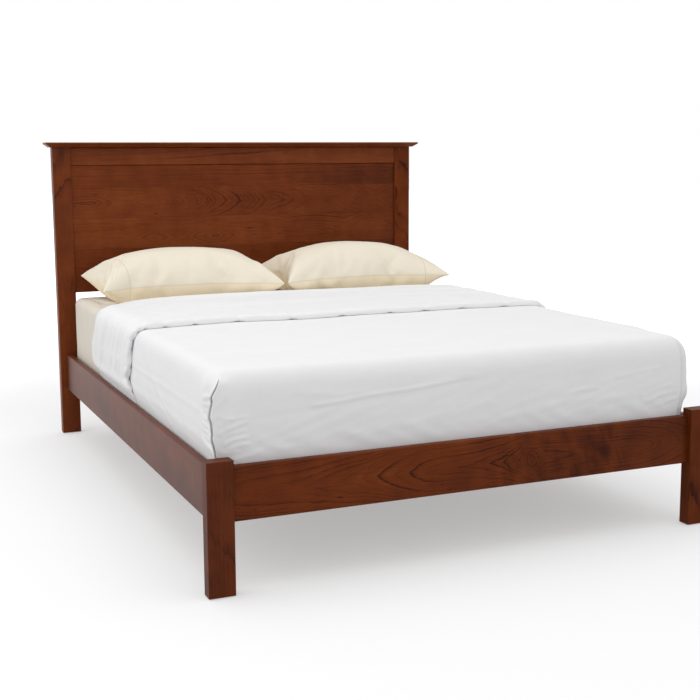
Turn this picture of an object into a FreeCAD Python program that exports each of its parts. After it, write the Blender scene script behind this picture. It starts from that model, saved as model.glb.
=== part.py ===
"""A queen-size panel bed in cherry, made up with a mattress, sheet, cover and two pillows.

X runs across the bed, Y from the foot towards the head, Z up. The origin lies on the floor
under the middle of the bed. Every size is in millimetres.
"""
import FreeCAD
import Part
import math
import os
from FreeCAD import Vector

# ---------------------------------------------------------------- driving dimensions
# mattress, and the room that the frame leaves round it
mattress_width = 1524.0
mattress_length = 2032.0
mattress_thickness = 305.0
side_gap = 13.0
head_gap = 16.0
foot_gap = 35.0

# posts
post_width = 76.0
post_depth = 44.0
head_post_top = 1212.0
foot_post_top = 373.0
post_ease = 2.5

# rails that close the frame
rail_thickness = 25.0
rail_height = 152.0
side_rail_bottom = 192.0
foot_rail_bottom = 200.0
rail_reveal = 25.0
rail_ease = 3.0
head_rail_setback = 6.0

# mortise and tenon joints
tenon_thickness = 10.0
tenon_length = 30.0
tenon_shoulder = 16.0
tenon_ease = 3.0
mortise_fit = 0.2
mortise_end_room = 2.0

# headboard: top rail, floating panel and cap
top_rail_height = 75.0
panel_bottom = 603.0
panel_thickness = 18.0
panel_setback = 11.0
tongue_thickness = 8.0
groove_depth = 10.0
tongue_end_room = 1.5
cap_thickness = 20.0
cap_overhang = 30.0
cap_lip = 6.0
cap_bevel_run = 20.0
cap_ease = 1.5
dowel_radius = 4.0
dowel_length = 30.0
dowel_fit = 0.05

# hook-on rail fasteners, one set at each of the four rail ends
plate_width = 16.0
plate_height = 124.0
plate_thickness = 2.5
plate_corner = 3.0
plate_screw_margin = 11.0
hook_thickness = 3.0
hook_neck = 13.0
hook_drop = 10.0
hook_reach = 4.0
hook_round = 3.0
hook_pitch = 62.0
hook_slot_room = 1.0
hook_side_fit = 0.5
hook_plate_fit = 0.3

# slatted base
slat_count = 13
slat_width = 70.0
slat_thickness = 19.0
slat_ease = 2.0
slat_end_room = 2.0
slat_margin = 22.0
cleat_width = 25.0
cleat_height = 32.0
cleat_top = 259.0
cleat_end_gap = 60.0
cleat_screw_count = 6

# centre beam, its saddles and its legs
beam_width = 38.0
beam_height = 50.0
beam_end_room = 1.0
saddle_width = 100.0
saddle_depth = 25.0
saddle_seat = 9.0
saddle_cheek = 44.0
saddle_fit = 0.3
leg_count = 2
leg_width = 44.0
leg_foot_width = 36.0
hanger_bolt_radius = 4.0
hanger_bolt_half = 28.0

# levelling glides under the legs, and nail-on glides under the posts
pad_radius = 16.0
pad_height = 8.0
pad_edge = 2.0
glide_up_travel = 10.0
glide_down_travel = 8.0
stem_engaged = 16.0
stem_radius = 4.0
stem_fit = 0.05
stem_point = 1.0
insert_radius = 5.5
insert_length = 25.0
post_glide_radius = 12.5
post_glide_height = 3.0
nail_radius = 1.25
nail_length = 15.0

# wood screws
screw_radius = 2.0
screw_head_radius = 4.0
screw_head_height = 2.2
screw_tip = 3.0
screw_fit = 0.05
slat_screw_length = 30.0
cleat_screw_length = 38.0
plate_screw_length = 32.0
saddle_screw_length = 40.0

# flats that stand for a round on the small pieces that repeat
screw_sides = 6
bar_sides = 8
stem_sides = 16
disc_sides = 24

# bedding; its soft edges are rolled over in short flats
corner_flat_count = 6
edge_flat_count = 3
mattress_corner = 60.0
mattress_edge = 28.0
sheet_thickness = 1.5
sheet_hem = 70.0
soft_clearance = 0.3
cover_thickness = 14.0
cover_tuck = 40.0
cover_corner = 46.0
cover_head_edge = 455.0
band_length = 760.0
band_thickness = 20.0
band_round = 8.0
cover_bulge_height = 30.0
pleat_radius = 11.0
pleat_sides = 10
pillow_length = 712.0
pillow_depth = 436.0
pillow_height = 212.0
pillow_seam_height = 76.0
pillow_head_gap = 56.0
pillow_between = 8.0
pillow_shift = 21.0
pillow_draw_in = 11.0
pillow_end_draw = 8.0
pillow_rest_share = 0.52
pillow_low_share = 0.8
pillow_crown_share = 0.3
pillow_flat_count = 6
crown_step_count = 7
case_thickness = 1.5
case_hem = 46.0
case_hem_height = 30.0
case_hem_lap = 24.0

# ---------------------------------------------------------------- derived places
rail_inner_x = mattress_width / 2 + side_gap
rail_outer_x = rail_inner_x + rail_thickness
rail_mid_x = (rail_inner_x + rail_outer_x) / 2
post_outer_x = rail_outer_x + rail_reveal
post_inner_x = post_outer_x - post_width
post_mid_x = post_outer_x - post_width / 2
side_rail_length = head_gap + mattress_length + foot_gap
overall_length = post_depth + side_rail_length + post_depth
head_back_y = overall_length / 2
head_front_y = head_back_y - post_depth
foot_back_y = head_front_y - side_rail_length
foot_front_y = foot_back_y - post_depth

side_rail_top = side_rail_bottom + rail_height
foot_rail_top = foot_rail_bottom + rail_height
head_rail_y = head_front_y + head_rail_setback
top_rail_bottom = head_post_top - top_rail_height
panel_front_y = head_front_y + panel_setback
panel_mid_y = panel_front_y + panel_thickness / 2

slat_top = cleat_top + slat_thickness
beam_bottom = cleat_top - beam_height
saddle_bottom = beam_bottom - saddle_seat
leg_bottom = pad_height + glide_up_travel
stem_length = glide_up_travel + glide_down_travel + stem_engaged

mattress_bottom = slat_top + soft_clearance + sheet_thickness + soft_clearance
mattress_top = mattress_bottom + mattress_thickness
mattress_head_y = head_front_y - head_gap
mattress_foot_y = mattress_head_y - mattress_length
sheet_offset = soft_clearance + sheet_thickness
sheet_top = mattress_top + sheet_offset

SIDES = {"left": -1, "right": 1}
ENDS = {"foot": -1, "head": 1}
LEFT, RIGHT = SIDES["left"], SIDES["right"]
FOOT, HEAD = ENDS["foot"], ENDS["head"]


# ---------------------------------------------------------------- general shapes
def block(low, high):
    """A square-edged block between two opposite corners."""
    size = [high[i] - low[i] for i in range(3)]
    return Part.makeBox(size[0], size[1], size[2], Vector(*low))


def eased_bar(low, high, along, ease):
    """A board between two opposite corners, its four edges along x, y or z chamfered."""
    axis = "xyz".index(along)
    first, second = [i for i in range(3) if i != axis]
    a0, a1, b0, b1 = low[first], high[first], low[second], high[second]
    outline = [(a0 + ease, b0), (a1 - ease, b0), (a1, b0 + ease), (a1, b1 - ease),
               (a1 - ease, b1), (a0 + ease, b1), (a0, b1 - ease), (a0, b0 + ease)]
    points = []
    for a, b in outline:
        point = [0.0, 0.0, 0.0]
        point[first] = a
        point[second] = b
        point[axis] = low[axis]
        points.append(Vector(*point))
    travel = [0.0, 0.0, 0.0]
    travel[axis] = high[axis] - low[axis]
    return Part.Face(Part.makePolygon(points + points[:1])).extrude(Vector(*travel))


def flat_sided(outlines):
    """A solid whose flat faces join each outline of points to the next, closed at both ends."""
    faces = [Part.Face(Part.makePolygon(outline + outline[:1]))
             for outline in (outlines[0], outlines[-1])]
    for near, far in zip(outlines, outlines[1:]):
        for i in range(len(near)):
            corners = [near[i - 1], near[i], far[i], far[i - 1]]
            faces.append(Part.Face(Part.makePolygon(corners + corners[:1])))
    solid = Part.makeSolid(Part.makeShell(faces))
    if solid.Volume < 0:
        solid.reverse()
    return solid


def turned(profile, sides):
    """A solid with flat sides about the Z axis, through rings of (radius, height)."""
    turns = evenly(0, 2 * math.pi, sides + 1)[:-1]
    return flat_sided([[Vector(radius * math.cos(turn), radius * math.sin(turn), z)
                        for turn in turns] for radius, z in profile])


def upright_bar(x, y, z_low, z_high, radius, sides):
    """A straight upright bar, or the hole for one."""
    bar = turned([(radius, z_low), (radius, z_high)], sides)
    bar.translate(Vector(x, y, 0))
    return bar


def driven(body, head, direction):
    """A body built up the Z axis, moved to a point and turned to a direction."""
    turn = FreeCAD.Rotation(Vector(0, 0, 1), Vector(*direction))
    body.Placement = FreeCAD.Placement(Vector(*head), turn)
    return body


def sided(side, near, far):
    """Two distances from the middle as ordered X limits on the chosen side."""
    return sorted((side * near, side * far))


def fuse_all(shapes):
    """One solid out of several that share faces or volume."""
    whole = shapes[0]
    for shape in shapes[1:]:
        whole = whole.fuse(shape)
    return whole.removeSplitter()


def cut_all(shape, tools):
    """A solid with every tool cut out of it."""
    if not tools:
        return shape
    return shape.cut(Part.makeCompound(tools)).removeSplitter()


def evenly(first, last, count):
    """Evenly spaced values from the first to the last."""
    if count < 2:
        return [(first + last) / 2]
    return [first + (last - first) * i / (count - 1) for i in range(count)]


def wood_screw(head, direction, length):
    """A countersunk wood screw, its flat head at the given point, driven along direction."""
    body = turned([(screw_head_radius, 0), (screw_radius, screw_head_height),
                   (screw_radius, length - screw_tip), (screw_fit, length)], screw_sides)
    return driven(body, head, direction)


def screw_hole(head, direction, length):
    """The pilot hole and countersink that a wood screw fits."""
    body = turned([(screw_head_radius + screw_fit, 0), (screw_radius + screw_fit, screw_head_height),
                   (screw_radius + screw_fit, length + screw_fit)], screw_sides)
    return driven(body, head, direction)


# ---------------------------------------------------------------- mortise and tenon
def tenon(side, y_middle, z_low, z_high, grow=0.0, deeper=0.0):
    """A tenon with eased edges that runs out of a rail's end into the post on one side.

    With grow and deeper it is the mortise that the tenon fits."""
    half = tenon_thickness / 2 + grow
    shoulder = tenon_shoulder - grow
    x_low, x_high = sided(side, post_inner_x, post_inner_x + tenon_length + deeper)
    return eased_bar((x_low, y_middle - half, z_low + shoulder),
                     (x_high, y_middle + half, z_high - shoulder), "x", tenon_ease)


def mortise(side, y_middle, z_low, z_high):
    return tenon(side, y_middle, z_low, z_high, mortise_fit, mortise_end_room)


def cross_rail(y_low, z_low, z_high):
    """A rail across the bed with a tenon on each end."""
    y_middle = y_low + rail_thickness / 2
    board = eased_bar((-post_inner_x, y_low, z_low),
                      (post_inner_x, y_low + rail_thickness, z_high), "x", rail_ease)
    tenons = [tenon(side, y_middle, z_low, z_high) for side in (LEFT, RIGHT)]
    return fuse_all([board] + tenons)


# ---------------------------------------------------------------- hook-on rail fasteners
def joint_y(end):
    """The plane where a side rail's end meets its post."""
    return head_front_y if end == HEAD else foot_back_y


plate_bottom = side_rail_bottom + (rail_height - plate_height) / 2
hook_seats = [plate_bottom + plate_height / 2 + step * hook_pitch / 2 - hook_neck / 2
              for step in (-1, 1)]
plate_screw_heights = [plate_bottom + plate_height / 2 + step * (plate_height / 2 - plate_screw_margin)
                       for step in (-1, 1)]
slot_height = hook_neck + hook_drop + 2 * hook_slot_room


def plate_blank(side, end, into):
    """A clipped-corner steel plate let in flush; into is +1 for the post, -1 for the rail."""
    y = joint_y(end)
    y_low, y_high = sorted((y, y + into * end * plate_thickness))
    middle_x = side * rail_mid_x
    return eased_bar((middle_x - plate_width / 2, y_low, plate_bottom),
                     (middle_x + plate_width / 2, y_high, plate_bottom + plate_height),
                     "y", plate_corner)


def hook(side, end, seat):
    """One hook: a neck through the slotted plate, and a lip that drops behind it."""
    y = joint_y(end)
    back = y + end * (plate_thickness + hook_plate_fit)
    tip = back + end * hook_reach
    x = side * rail_mid_x - hook_thickness / 2
    top = seat + hook_neck
    low = seat - hook_drop
    diagonal = hook_round * (1 - math.sqrt(0.5))
    outline = Part.Wire([
        Part.makeLine(Vector(x, y, seat), Vector(x, back, seat)),
        Part.makeLine(Vector(x, back, seat), Vector(x, back, low)),
        Part.makeLine(Vector(x, back, low), Vector(x, tip - end * hook_round / 2, low)),
        Part.makeLine(Vector(x, tip - end * hook_round / 2, low), Vector(x, tip, low + hook_round)),
        Part.makeLine(Vector(x, tip, low + hook_round), Vector(x, tip, top - hook_round)),
        Part.Arc(Vector(x, tip, top - hook_round),
                 Vector(x, tip - end * diagonal, top - diagonal),
                 Vector(x, tip - end * hook_round, top)).toShape(),
        Part.makeLine(Vector(x, tip - end * hook_round, top), Vector(x, y, top)),
        Part.makeLine(Vector(x, y, top), Vector(x, y, seat))])
    return Part.Face(outline).extrude(Vector(hook_thickness, 0, 0))


def hook_plate(side, end):
    """The plate let into the rail's end, with its two hooks."""
    plate = plate_blank(side, end, -1)
    holes = [screw_hole((side * rail_mid_x, joint_y(end), z), (0, -end, 0), plate_screw_length)
             for z in plate_screw_heights]
    return fuse_all([cut_all(plate, holes)] + [hook(side, end, seat) for seat in hook_seats])


def slot_plate(side, end):
    """The plate let into the post, with the two slots that the hooks drop through."""
    plate = plate_blank(side, end, 1)
    y = joint_y(end)
    half = hook_thickness / 2 + hook_side_fit
    tools = []
    for seat in hook_seats:
        y_low, y_high = sorted((y, y + end * plate_thickness))
        tools.append(block((side * rail_mid_x - half, y_low, seat),
                           (side * rail_mid_x + half, y_high, seat + slot_height)))
    for z in plate_screw_heights:
        tools.append(screw_hole((side * rail_mid_x, y, z), (0, end, 0), plate_screw_length))
    return cut_all(plate, tools)


def hook_pockets(side, end):
    """The room behind the slotted plate in which the hooks drop."""
    half = hook_thickness / 2 + hook_side_fit
    depth = plate_thickness + hook_plate_fit + hook_reach + hook_slot_room
    y_low, y_high = sorted((joint_y(end), joint_y(end) + end * depth))
    return [block((side * rail_mid_x - half, y_low, seat - hook_drop - hook_slot_room),
                  (side * rail_mid_x + half, y_high, seat + slot_height + hook_slot_room))
            for seat in hook_seats]


def plate_screws(into):
    """All the screws of the slotted plates (into +1) or of the hook plates (into -1)."""
    return Part.makeCompound([
        wood_screw((side * rail_mid_x, joint_y(end), z), (0, into * end, 0), plate_screw_length)
        for side in (LEFT, RIGHT) for end in (HEAD, FOOT) for z in plate_screw_heights])


def plate_screw_holes(side, end, into):
    return [screw_hole((side * rail_mid_x, joint_y(end), z), (0, into * end, 0),
                       plate_screw_length) for z in plate_screw_heights]


# ---------------------------------------------------------------- posts
def post_glide_nail(x, y, grow=0.0):
    return upright_bar(x, y, post_glide_height / 2, post_glide_height + nail_length + grow,
                       nail_radius + grow, screw_sides)


def post(side, end):
    """A post with its mortises, its hook pockets and the bed of its slotted plate."""
    top = head_post_top if end == HEAD else foot_post_top
    y_low = head_front_y if end == HEAD else foot_front_y
    x_low, x_high = sided(side, post_inner_x, post_outer_x)
    body = eased_bar((x_low, y_low, post_glide_height), (x_high, y_low + post_depth, top),
                     "z", post_ease)
    tools = [plate_blank(side, end, 1)] + hook_pockets(side, end)
    tools += plate_screw_holes(side, end, 1)
    tools.append(post_glide_nail(side * post_mid_x, y_low + post_depth / 2, screw_fit))
    if end == HEAD:
        rail_middle = head_rail_y + rail_thickness / 2
        tools.append(mortise(side, rail_middle, side_rail_bottom, side_rail_top))
        tools.append(mortise(side, rail_middle, top_rail_bottom, head_post_top))
        tools.append(panel_groove(side))
        tools += [dowel(x, y, dowel_fit) for x, y in dowel_places if x * side > post_inner_x]
    else:
        tools.append(mortise(side, foot_back_y - rail_thickness / 2,
                             foot_rail_bottom, foot_rail_top))
    return cut_all(body, tools)


def post_glides():
    """Nail-on glides: a disc with a rolled rim and its nail, one under each post."""
    rim = post_glide_height / 3
    glides = []
    for side in (LEFT, RIGHT):
        for y in (head_front_y + post_depth / 2, foot_back_y - post_depth / 2):
            x = side * post_mid_x
            disc = turned([(post_glide_radius - rim, 0), (post_glide_radius, rim),
                           (post_glide_radius, post_glide_height)], disc_sides)
            disc.translate(Vector(x, y, 0))
            glides.append(fuse_all([disc, post_glide_nail(x, y)]))
    return Part.makeCompound(glides)


# ---------------------------------------------------------------- headboard
def panel_groove(side):
    """The stopped groove in a head post that holds the panel's edge and carries it."""
    half = tongue_thickness / 2 + mortise_fit
    x_low, x_high = sided(side, post_inner_x, post_inner_x + groove_depth)
    return block((x_low, panel_mid_y - half, panel_bottom),
                 (x_high, panel_mid_y + half, top_rail_bottom + groove_depth))


def headboard_top_rail():
    """The rail under the cap, tenoned into the posts and grooved below for the panel."""
    rail = cross_rail(head_rail_y, top_rail_bottom, head_post_top)
    half = tongue_thickness / 2 + mortise_fit
    groove = block((-post_inner_x, panel_mid_y - half, top_rail_bottom),
                   (post_inner_x, panel_mid_y + half, top_rail_bottom + groove_depth))
    holes = [dowel(x, y, dowel_fit) for x, y in dowel_places if abs(x) < post_inner_x]
    return cut_all(rail, [groove] + holes)


def headboard_panel():
    """The glued-up panel, free to swell in the grooves round its tongue."""
    half_width = post_inner_x - mortise_fit
    tongue_reach = post_inner_x + groove_depth - tongue_end_room
    tongue_top = top_rail_bottom + groove_depth - tongue_end_room
    field = eased_bar((-half_width, panel_front_y, panel_bottom),
                      (half_width, panel_front_y + panel_thickness,
                       top_rail_bottom - mortise_fit), "x", slat_ease)
    tongue = block((-tongue_reach, panel_mid_y - tongue_thickness / 2, panel_bottom),
                   (tongue_reach, panel_mid_y + tongue_thickness / 2, tongue_top))
    return fuse_all([field, tongue])


def headboard_lower_rail():
    return cross_rail(head_rail_y, side_rail_bottom, side_rail_top)


def rectangle(x_half, y_low, y_high, z):
    """The corners of a level rectangle, centred across the bed."""
    return [Vector(-x_half, y_low, z), Vector(x_half, y_low, z),
            Vector(x_half, y_high, z), Vector(-x_half, y_high, z)]


cap_top = head_post_top + cap_thickness
dowel_places = [(side * x, head_rail_y + rail_thickness / 2)
                for side in (LEFT, RIGHT)
                for x in (post_mid_x, post_inner_x * 2 / 3, post_inner_x / 4)]


def dowel(x, y, grow=0.0):
    """An upright dowel, half in the cap and half in what carries it."""
    half = dowel_length / 2 + grow
    return upright_bar(x, y, head_post_top - half, head_post_top + half, dowel_radius + grow,
                       bar_sides)


def headboard_cap():
    """The cap board: bevelled below on its front and both ends, flush behind."""
    bevel_x = post_outer_x + cap_overhang - cap_bevel_run
    bevel_y = head_front_y - cap_overhang + cap_bevel_run
    edge_x = post_outer_x + cap_overhang
    edge_y = head_front_y - cap_overhang
    outlines = [rectangle(bevel_x, bevel_y, head_back_y, head_post_top),
                rectangle(edge_x, edge_y, head_back_y, cap_top - cap_lip),
                rectangle(edge_x, edge_y, head_back_y, cap_top - cap_ease),
                rectangle(edge_x - cap_ease, edge_y + cap_ease, head_back_y, cap_top)]
    board = flat_sided(outlines)
    holes = [dowel(x, y, dowel_fit) for x, y in dowel_places]
    return cut_all(board, holes)


def cap_dowels():
    return Part.makeCompound([dowel(x, y) for x, y in dowel_places])


# ---------------------------------------------------------------- side rails and foot rail
cleat_head_y = head_front_y - cleat_end_gap
cleat_foot_y = foot_back_y + cleat_end_gap
cleat_screw_ys = evenly(cleat_foot_y + slat_margin, cleat_head_y - slat_margin,
                        cleat_screw_count)
cleat_inner_x = rail_inner_x - cleat_width


def cleat_screw_place(side, y):
    """Where a cleat screw's head lies, and the way it is driven."""
    return (side * cleat_inner_x, y, cleat_top - cleat_height / 2), (side, 0, 0)


def side_rail(side):
    x_low, x_high = sided(side, rail_inner_x, rail_outer_x)
    body = eased_bar((x_low, foot_back_y, side_rail_bottom),
                     (x_high, head_front_y, side_rail_top), "y", rail_ease)
    tools = []
    for end in (HEAD, FOOT):
        tools.append(plate_blank(side, end, -1))
        tools += plate_screw_holes(side, end, -1)
    tools += [screw_hole(*cleat_screw_place(side, y), cleat_screw_length)
              for y in cleat_screw_ys]
    return cut_all(body, tools)


def foot_rail():
    rail = cross_rail(foot_back_y - rail_thickness, foot_rail_bottom, foot_rail_top)
    return cut_all(rail, saddle_screw_holes(FOOT))


def head_rail_with_holes():
    return cut_all(headboard_lower_rail(), saddle_screw_holes(HEAD))


# ---------------------------------------------------------------- slatted base
slat_ys = evenly(foot_back_y + slat_margin + slat_width / 2,
                 head_front_y - slat_margin - slat_width / 2, slat_count)
slat_screw_x = rail_inner_x - cleat_width / 2


def slat_screw_at(side, y):
    """Where a slat's screw goes: near the slat's middle, and always over the cleat."""
    y = max(y, cleat_foot_y + slat_margin)
    y = min(y, cleat_head_y - slat_margin)
    return (side * slat_screw_x, y, slat_top), (0, 0, -1)


def slat(y):
    """One slat, its long edges eased, screwed down near both ends."""
    half = rail_inner_x - slat_end_room
    board = eased_bar((-half, y - slat_width / 2, cleat_top),
                      (half, y + slat_width / 2, slat_top), "x", slat_ease)
    return cut_all(board, [screw_hole(*slat_screw_at(side, y), slat_screw_length)
                           for side in (LEFT, RIGHT)])


def cleat(side):
    """The strip inside a side rail that carries the slats' ends."""
    x_low, x_high = sided(side, cleat_inner_x, rail_inner_x)
    strip = eased_bar((x_low, cleat_foot_y, cleat_top - cleat_height),
                      (x_high, cleat_head_y, cleat_top), "y", slat_ease)
    tools = [screw_hole(*cleat_screw_place(side, y), cleat_screw_length)
             for y in cleat_screw_ys]
    tools += [screw_hole(*slat_screw_at(side, y), slat_screw_length) for y in slat_ys]
    return cut_all(strip, tools)


def slat_screws():
    return Part.makeCompound([wood_screw(*slat_screw_at(side, y), slat_screw_length)
                              for side in (LEFT, RIGHT) for y in slat_ys])


def cleat_screws():
    return Part.makeCompound([wood_screw(*cleat_screw_place(side, y), cleat_screw_length)
                              for side in (LEFT, RIGHT) for y in cleat_screw_ys])


# ---------------------------------------------------------------- centre beam and legs
def saddle_face_y(end):
    """The face of the head rail or the foot rail that a saddle is screwed to."""
    return head_rail_y if end == HEAD else foot_back_y


saddle_top = beam_bottom + saddle_cheek
saddle_screw_x = (saddle_width + beam_width) / 4


def saddle_screw_place(side, end):
    y = saddle_face_y(end) - end * saddle_depth
    return (side * saddle_screw_x, y, (saddle_bottom + saddle_top) / 2), (0, end, 0)


def saddle_screw_holes(end):
    return [screw_hole(*saddle_screw_place(side, end), saddle_screw_length)
            for side in (LEFT, RIGHT)]


def beam_saddle(end):
    """A notched block on the rail that the beam's end drops into."""
    y_low, y_high = sorted((saddle_face_y(end), saddle_face_y(end) - end * saddle_depth))
    half = saddle_width / 2
    notch = beam_width / 2 + saddle_fit
    outline = [(-half, saddle_bottom), (half, saddle_bottom), (half, saddle_top),
               (notch, saddle_top), (notch, beam_bottom), (-notch, beam_bottom),
               (-notch, saddle_top), (-half, saddle_top)]
    points = [Vector(x, y_low, z) for x, z in outline]
    body = Part.Face(Part.makePolygon(points + points[:1])).extrude(
        Vector(0, y_high - y_low, 0))
    return cut_all(body, saddle_screw_holes(end))


def saddle_screws():
    return Part.makeCompound([wood_screw(*saddle_screw_place(side, end), saddle_screw_length)
                              for side in (LEFT, RIGHT) for end in (HEAD, FOOT)])


leg_ys = [foot_back_y + side_rail_length * (i + 1) / (leg_count + 1) for i in range(leg_count)]


def hanger_bolt(y, grow=0.0):
    reach = hanger_bolt_half + grow
    return upright_bar(0, y, beam_bottom - reach, beam_bottom + reach,
                       hanger_bolt_radius + grow, bar_sides)


def centre_beam():
    """The beam under the slats' middles, from the head rail to the foot rail."""
    beam = eased_bar((-beam_width / 2, foot_back_y + beam_end_room, beam_bottom),
                     (beam_width / 2, head_rail_y - beam_end_room, cleat_top),
                     "y", slat_ease)
    return cut_all(beam, [hanger_bolt(y, dowel_fit) for y in leg_ys])


def centre_leg(y):
    """A leg that tapers to its foot, bored below for its threaded insert."""
    outlines = [rectangle(half, y - half, y + half, z)
                for half, z in ((leg_foot_width / 2, leg_bottom), (leg_width / 2, beam_bottom))]
    body = flat_sided(outlines)
    bore = upright_bar(0, y, leg_bottom, leg_bottom + insert_length,
                       insert_radius + dowel_fit, stem_sides)
    stem_room = upright_bar(0, y, leg_bottom, pad_height + stem_length + glide_up_travel
                            + mortise_end_room, stem_radius + mortise_fit, stem_sides)
    return cut_all(body, [bore, stem_room, hanger_bolt(y, dowel_fit)])


def leg_insert(y):
    """The threaded sleeve in a leg's foot."""
    top = leg_bottom + insert_length
    sleeve = upright_bar(0, y, leg_bottom, top, insert_radius, stem_sides)
    return sleeve.cut(upright_bar(0, y, leg_bottom, top, stem_radius + stem_fit, stem_sides))


def levelling_glide(y):
    """A round pad with a rolled edge, on the stem that screws into its leg."""
    pad = turned([(pad_radius - pad_edge, 0), (pad_radius, pad_edge),
                  (pad_radius, pad_height - 2 * pad_edge),
                  (stem_radius + pad_edge, pad_height)], disc_sides)
    stem_top = pad_height + stem_length
    stem = turned([(stem_radius, pad_edge), (stem_radius, stem_top - stem_point),
                   (stem_radius - stem_point, stem_top)], stem_sides)
    glide = fuse_all([pad, stem])
    glide.translate(Vector(0, y, 0))
    return glide


# ---------------------------------------------------------------- mattress and fitted sheet
def rolled(radius, steps):
    """Steps round a quarter turn: how far in, and how far along, from a face to the next."""
    turns = evenly(0, math.pi / 2, steps + 1)
    return [(radius * (1 - math.sin(turn)), radius * (1 - math.cos(turn))) for turn in turns]


def mattress_outline(radius, z):
    """A level outline of the mattress: four corners of one radius about fixed centres."""
    x = mattress_width / 2 - mattress_corner
    y_low = mattress_foot_y + mattress_corner
    y_high = mattress_head_y - mattress_corner
    points = []
    for i, (centre_x, centre_y) in enumerate(((x, y_high), (-x, y_high), (-x, y_low), (x, y_low))):
        for turn in evenly(i * math.pi / 2, (i + 1) * math.pi / 2, corner_flat_count + 1):
            points.append(Vector(centre_x + radius * math.cos(turn),
                                 centre_y + radius * math.sin(turn), z))
    return points


def mattress_form(grow):
    """The mattress with round corners and rolled edges, grown evenly all round."""
    radius = mattress_corner + grow
    low = mattress_bottom - grow
    high = mattress_top + grow
    edge = rolled(mattress_edge + grow, edge_flat_count)
    outlines = [mattress_outline(radius - inset, low + rise) for inset, rise in edge]
    outlines += [mattress_outline(radius - inset, high - rise) for inset, rise in reversed(edge)]
    return flat_sided(outlines)


def fitted_sheet():
    """The sheet over the mattress, drawn in under it by its elastic hem."""
    skin = mattress_form(sheet_offset).cut(mattress_form(soft_clearance))
    opening = block((-mattress_width / 2 + sheet_hem, mattress_foot_y + sheet_hem,
                     mattress_bottom - 2 * sheet_offset),
                    (mattress_width / 2 - sheet_hem, mattress_head_y - sheet_hem,
                     mattress_bottom + sheet_offset))
    return skin.cut(opening)


# ---------------------------------------------------------------- cover
cover_inner_offset = sheet_offset + soft_clearance
tucked_x = rail_inner_x - 2 * soft_clearance
cover_x = mattress_width / 2 + cover_inner_offset + cover_thickness
cover_top = mattress_top + cover_inner_offset + cover_thickness
cover_foot_y = foot_back_y + 2 * soft_clearance
cover_head_y = head_front_y - cover_head_edge
cover_bottom = side_rail_top - cover_tuck
band_foot_y = cover_head_y - band_length


def cover_outline(thickness, inset, y):
    """The cover across the bed at one place: tucked inside the rails, full above them."""
    x = cover_x + thickness - inset
    top = cover_top + thickness - inset
    r = cover_corner - inset
    d = r * (1 - math.sqrt(0.5))
    neck = side_rail_top + 2 * soft_clearance
    right = [Vector(tucked_x, y, cover_bottom), Vector(tucked_x, y, neck),
             Vector(x, y, neck + cover_bulge_height), Vector(x, y, top - r)]
    left = [Vector(-point.x, y, point.z) for point in reversed(right)]
    edges = [Part.makeLine(a, b) for a, b in zip(right, right[1:])]
    edges.append(Part.Arc(right[-1], Vector(x - d, y, top - d), Vector(x - r, y, top)).toShape())
    edges.append(Part.makeLine(Vector(x - r, y, top), Vector(-x + r, y, top)))
    edges.append(Part.Arc(Vector(-x + r, y, top), Vector(-x + d, y, top - d), left[0]).toShape())
    edges += [Part.makeLine(a, b) for a, b in zip(left, left[1:])]
    edges.append(Part.makeLine(left[-1], right[0]))
    return Part.Wire(edges)


def cover_layer(thickness, y_low, low_round, y_high, high_round):
    """One layer of the cover, as it hangs across the bed, with rolled or square ends."""
    outlines = [cover_outline(thickness, inset, y_low + rise)
                for inset, rise in rolled(low_round, edge_flat_count)]
    if high_round:
        outlines += [cover_outline(thickness, inset, y_high - rise)
                     for inset, rise in reversed(rolled(high_round, edge_flat_count))]
    else:
        outlines.append(cover_outline(thickness, 0, y_high))
    return Part.makeLoft(outlines, True, True)


def corner_pleat(side):
    """The soft fold of spare cloth down a foot corner, thin where it is tucked in."""
    low = foot_rail_top + cover_bulge_height
    high = cover_top - cover_corner
    fold = turned([(pleat_radius / 2, low), (pleat_radius, (low + high) / 2),
                   (pleat_radius / 2, high)], pleat_sides)
    fold.translate(Vector(side * (cover_x - pleat_radius / 2), cover_foot_y + pleat_radius, 0))
    return fold


def cover():
    """The white cover: tucked in at the sides and foot, its head end turned back double."""
    main = cover_layer(0, cover_foot_y, cover_thickness, cover_head_y, 0)
    band = cover_layer(band_thickness, band_foot_y, band_round, cover_head_y, band_thickness)
    folded = main.fuse([band, corner_pleat(LEFT), corner_pleat(RIGHT)])
    inside = mattress_form(cover_inner_offset)
    return folded.cut(inside).removeSplitter()


# ---------------------------------------------------------------- pillows
pillow_bottom = sheet_top + soft_clearance
pillow_middle_y = head_front_y - pillow_head_gap - pillow_depth / 2


def pillow_outline(middle_x, skin, share, z):
    """A level outline of a pillow: pointed corners, with the sides drawn in between them."""
    half_length = pillow_length / 2 - skin
    half_depth = pillow_depth / 2 - skin
    front, end = [], []
    for place in evenly(-1, 1, pillow_flat_count + 1)[:-1]:
        front.append((place * half_length, pillow_draw_in * (1 - place ** 2) - half_depth))
        end.append((half_length - pillow_end_draw * (1 - place ** 2), place * half_depth))
    half_way = front + end
    outline = half_way + [(-x, -y) for x, y in half_way]
    return [Vector(middle_x + x * share, pillow_middle_y + y * share, z) for x, y in outline]


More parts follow.
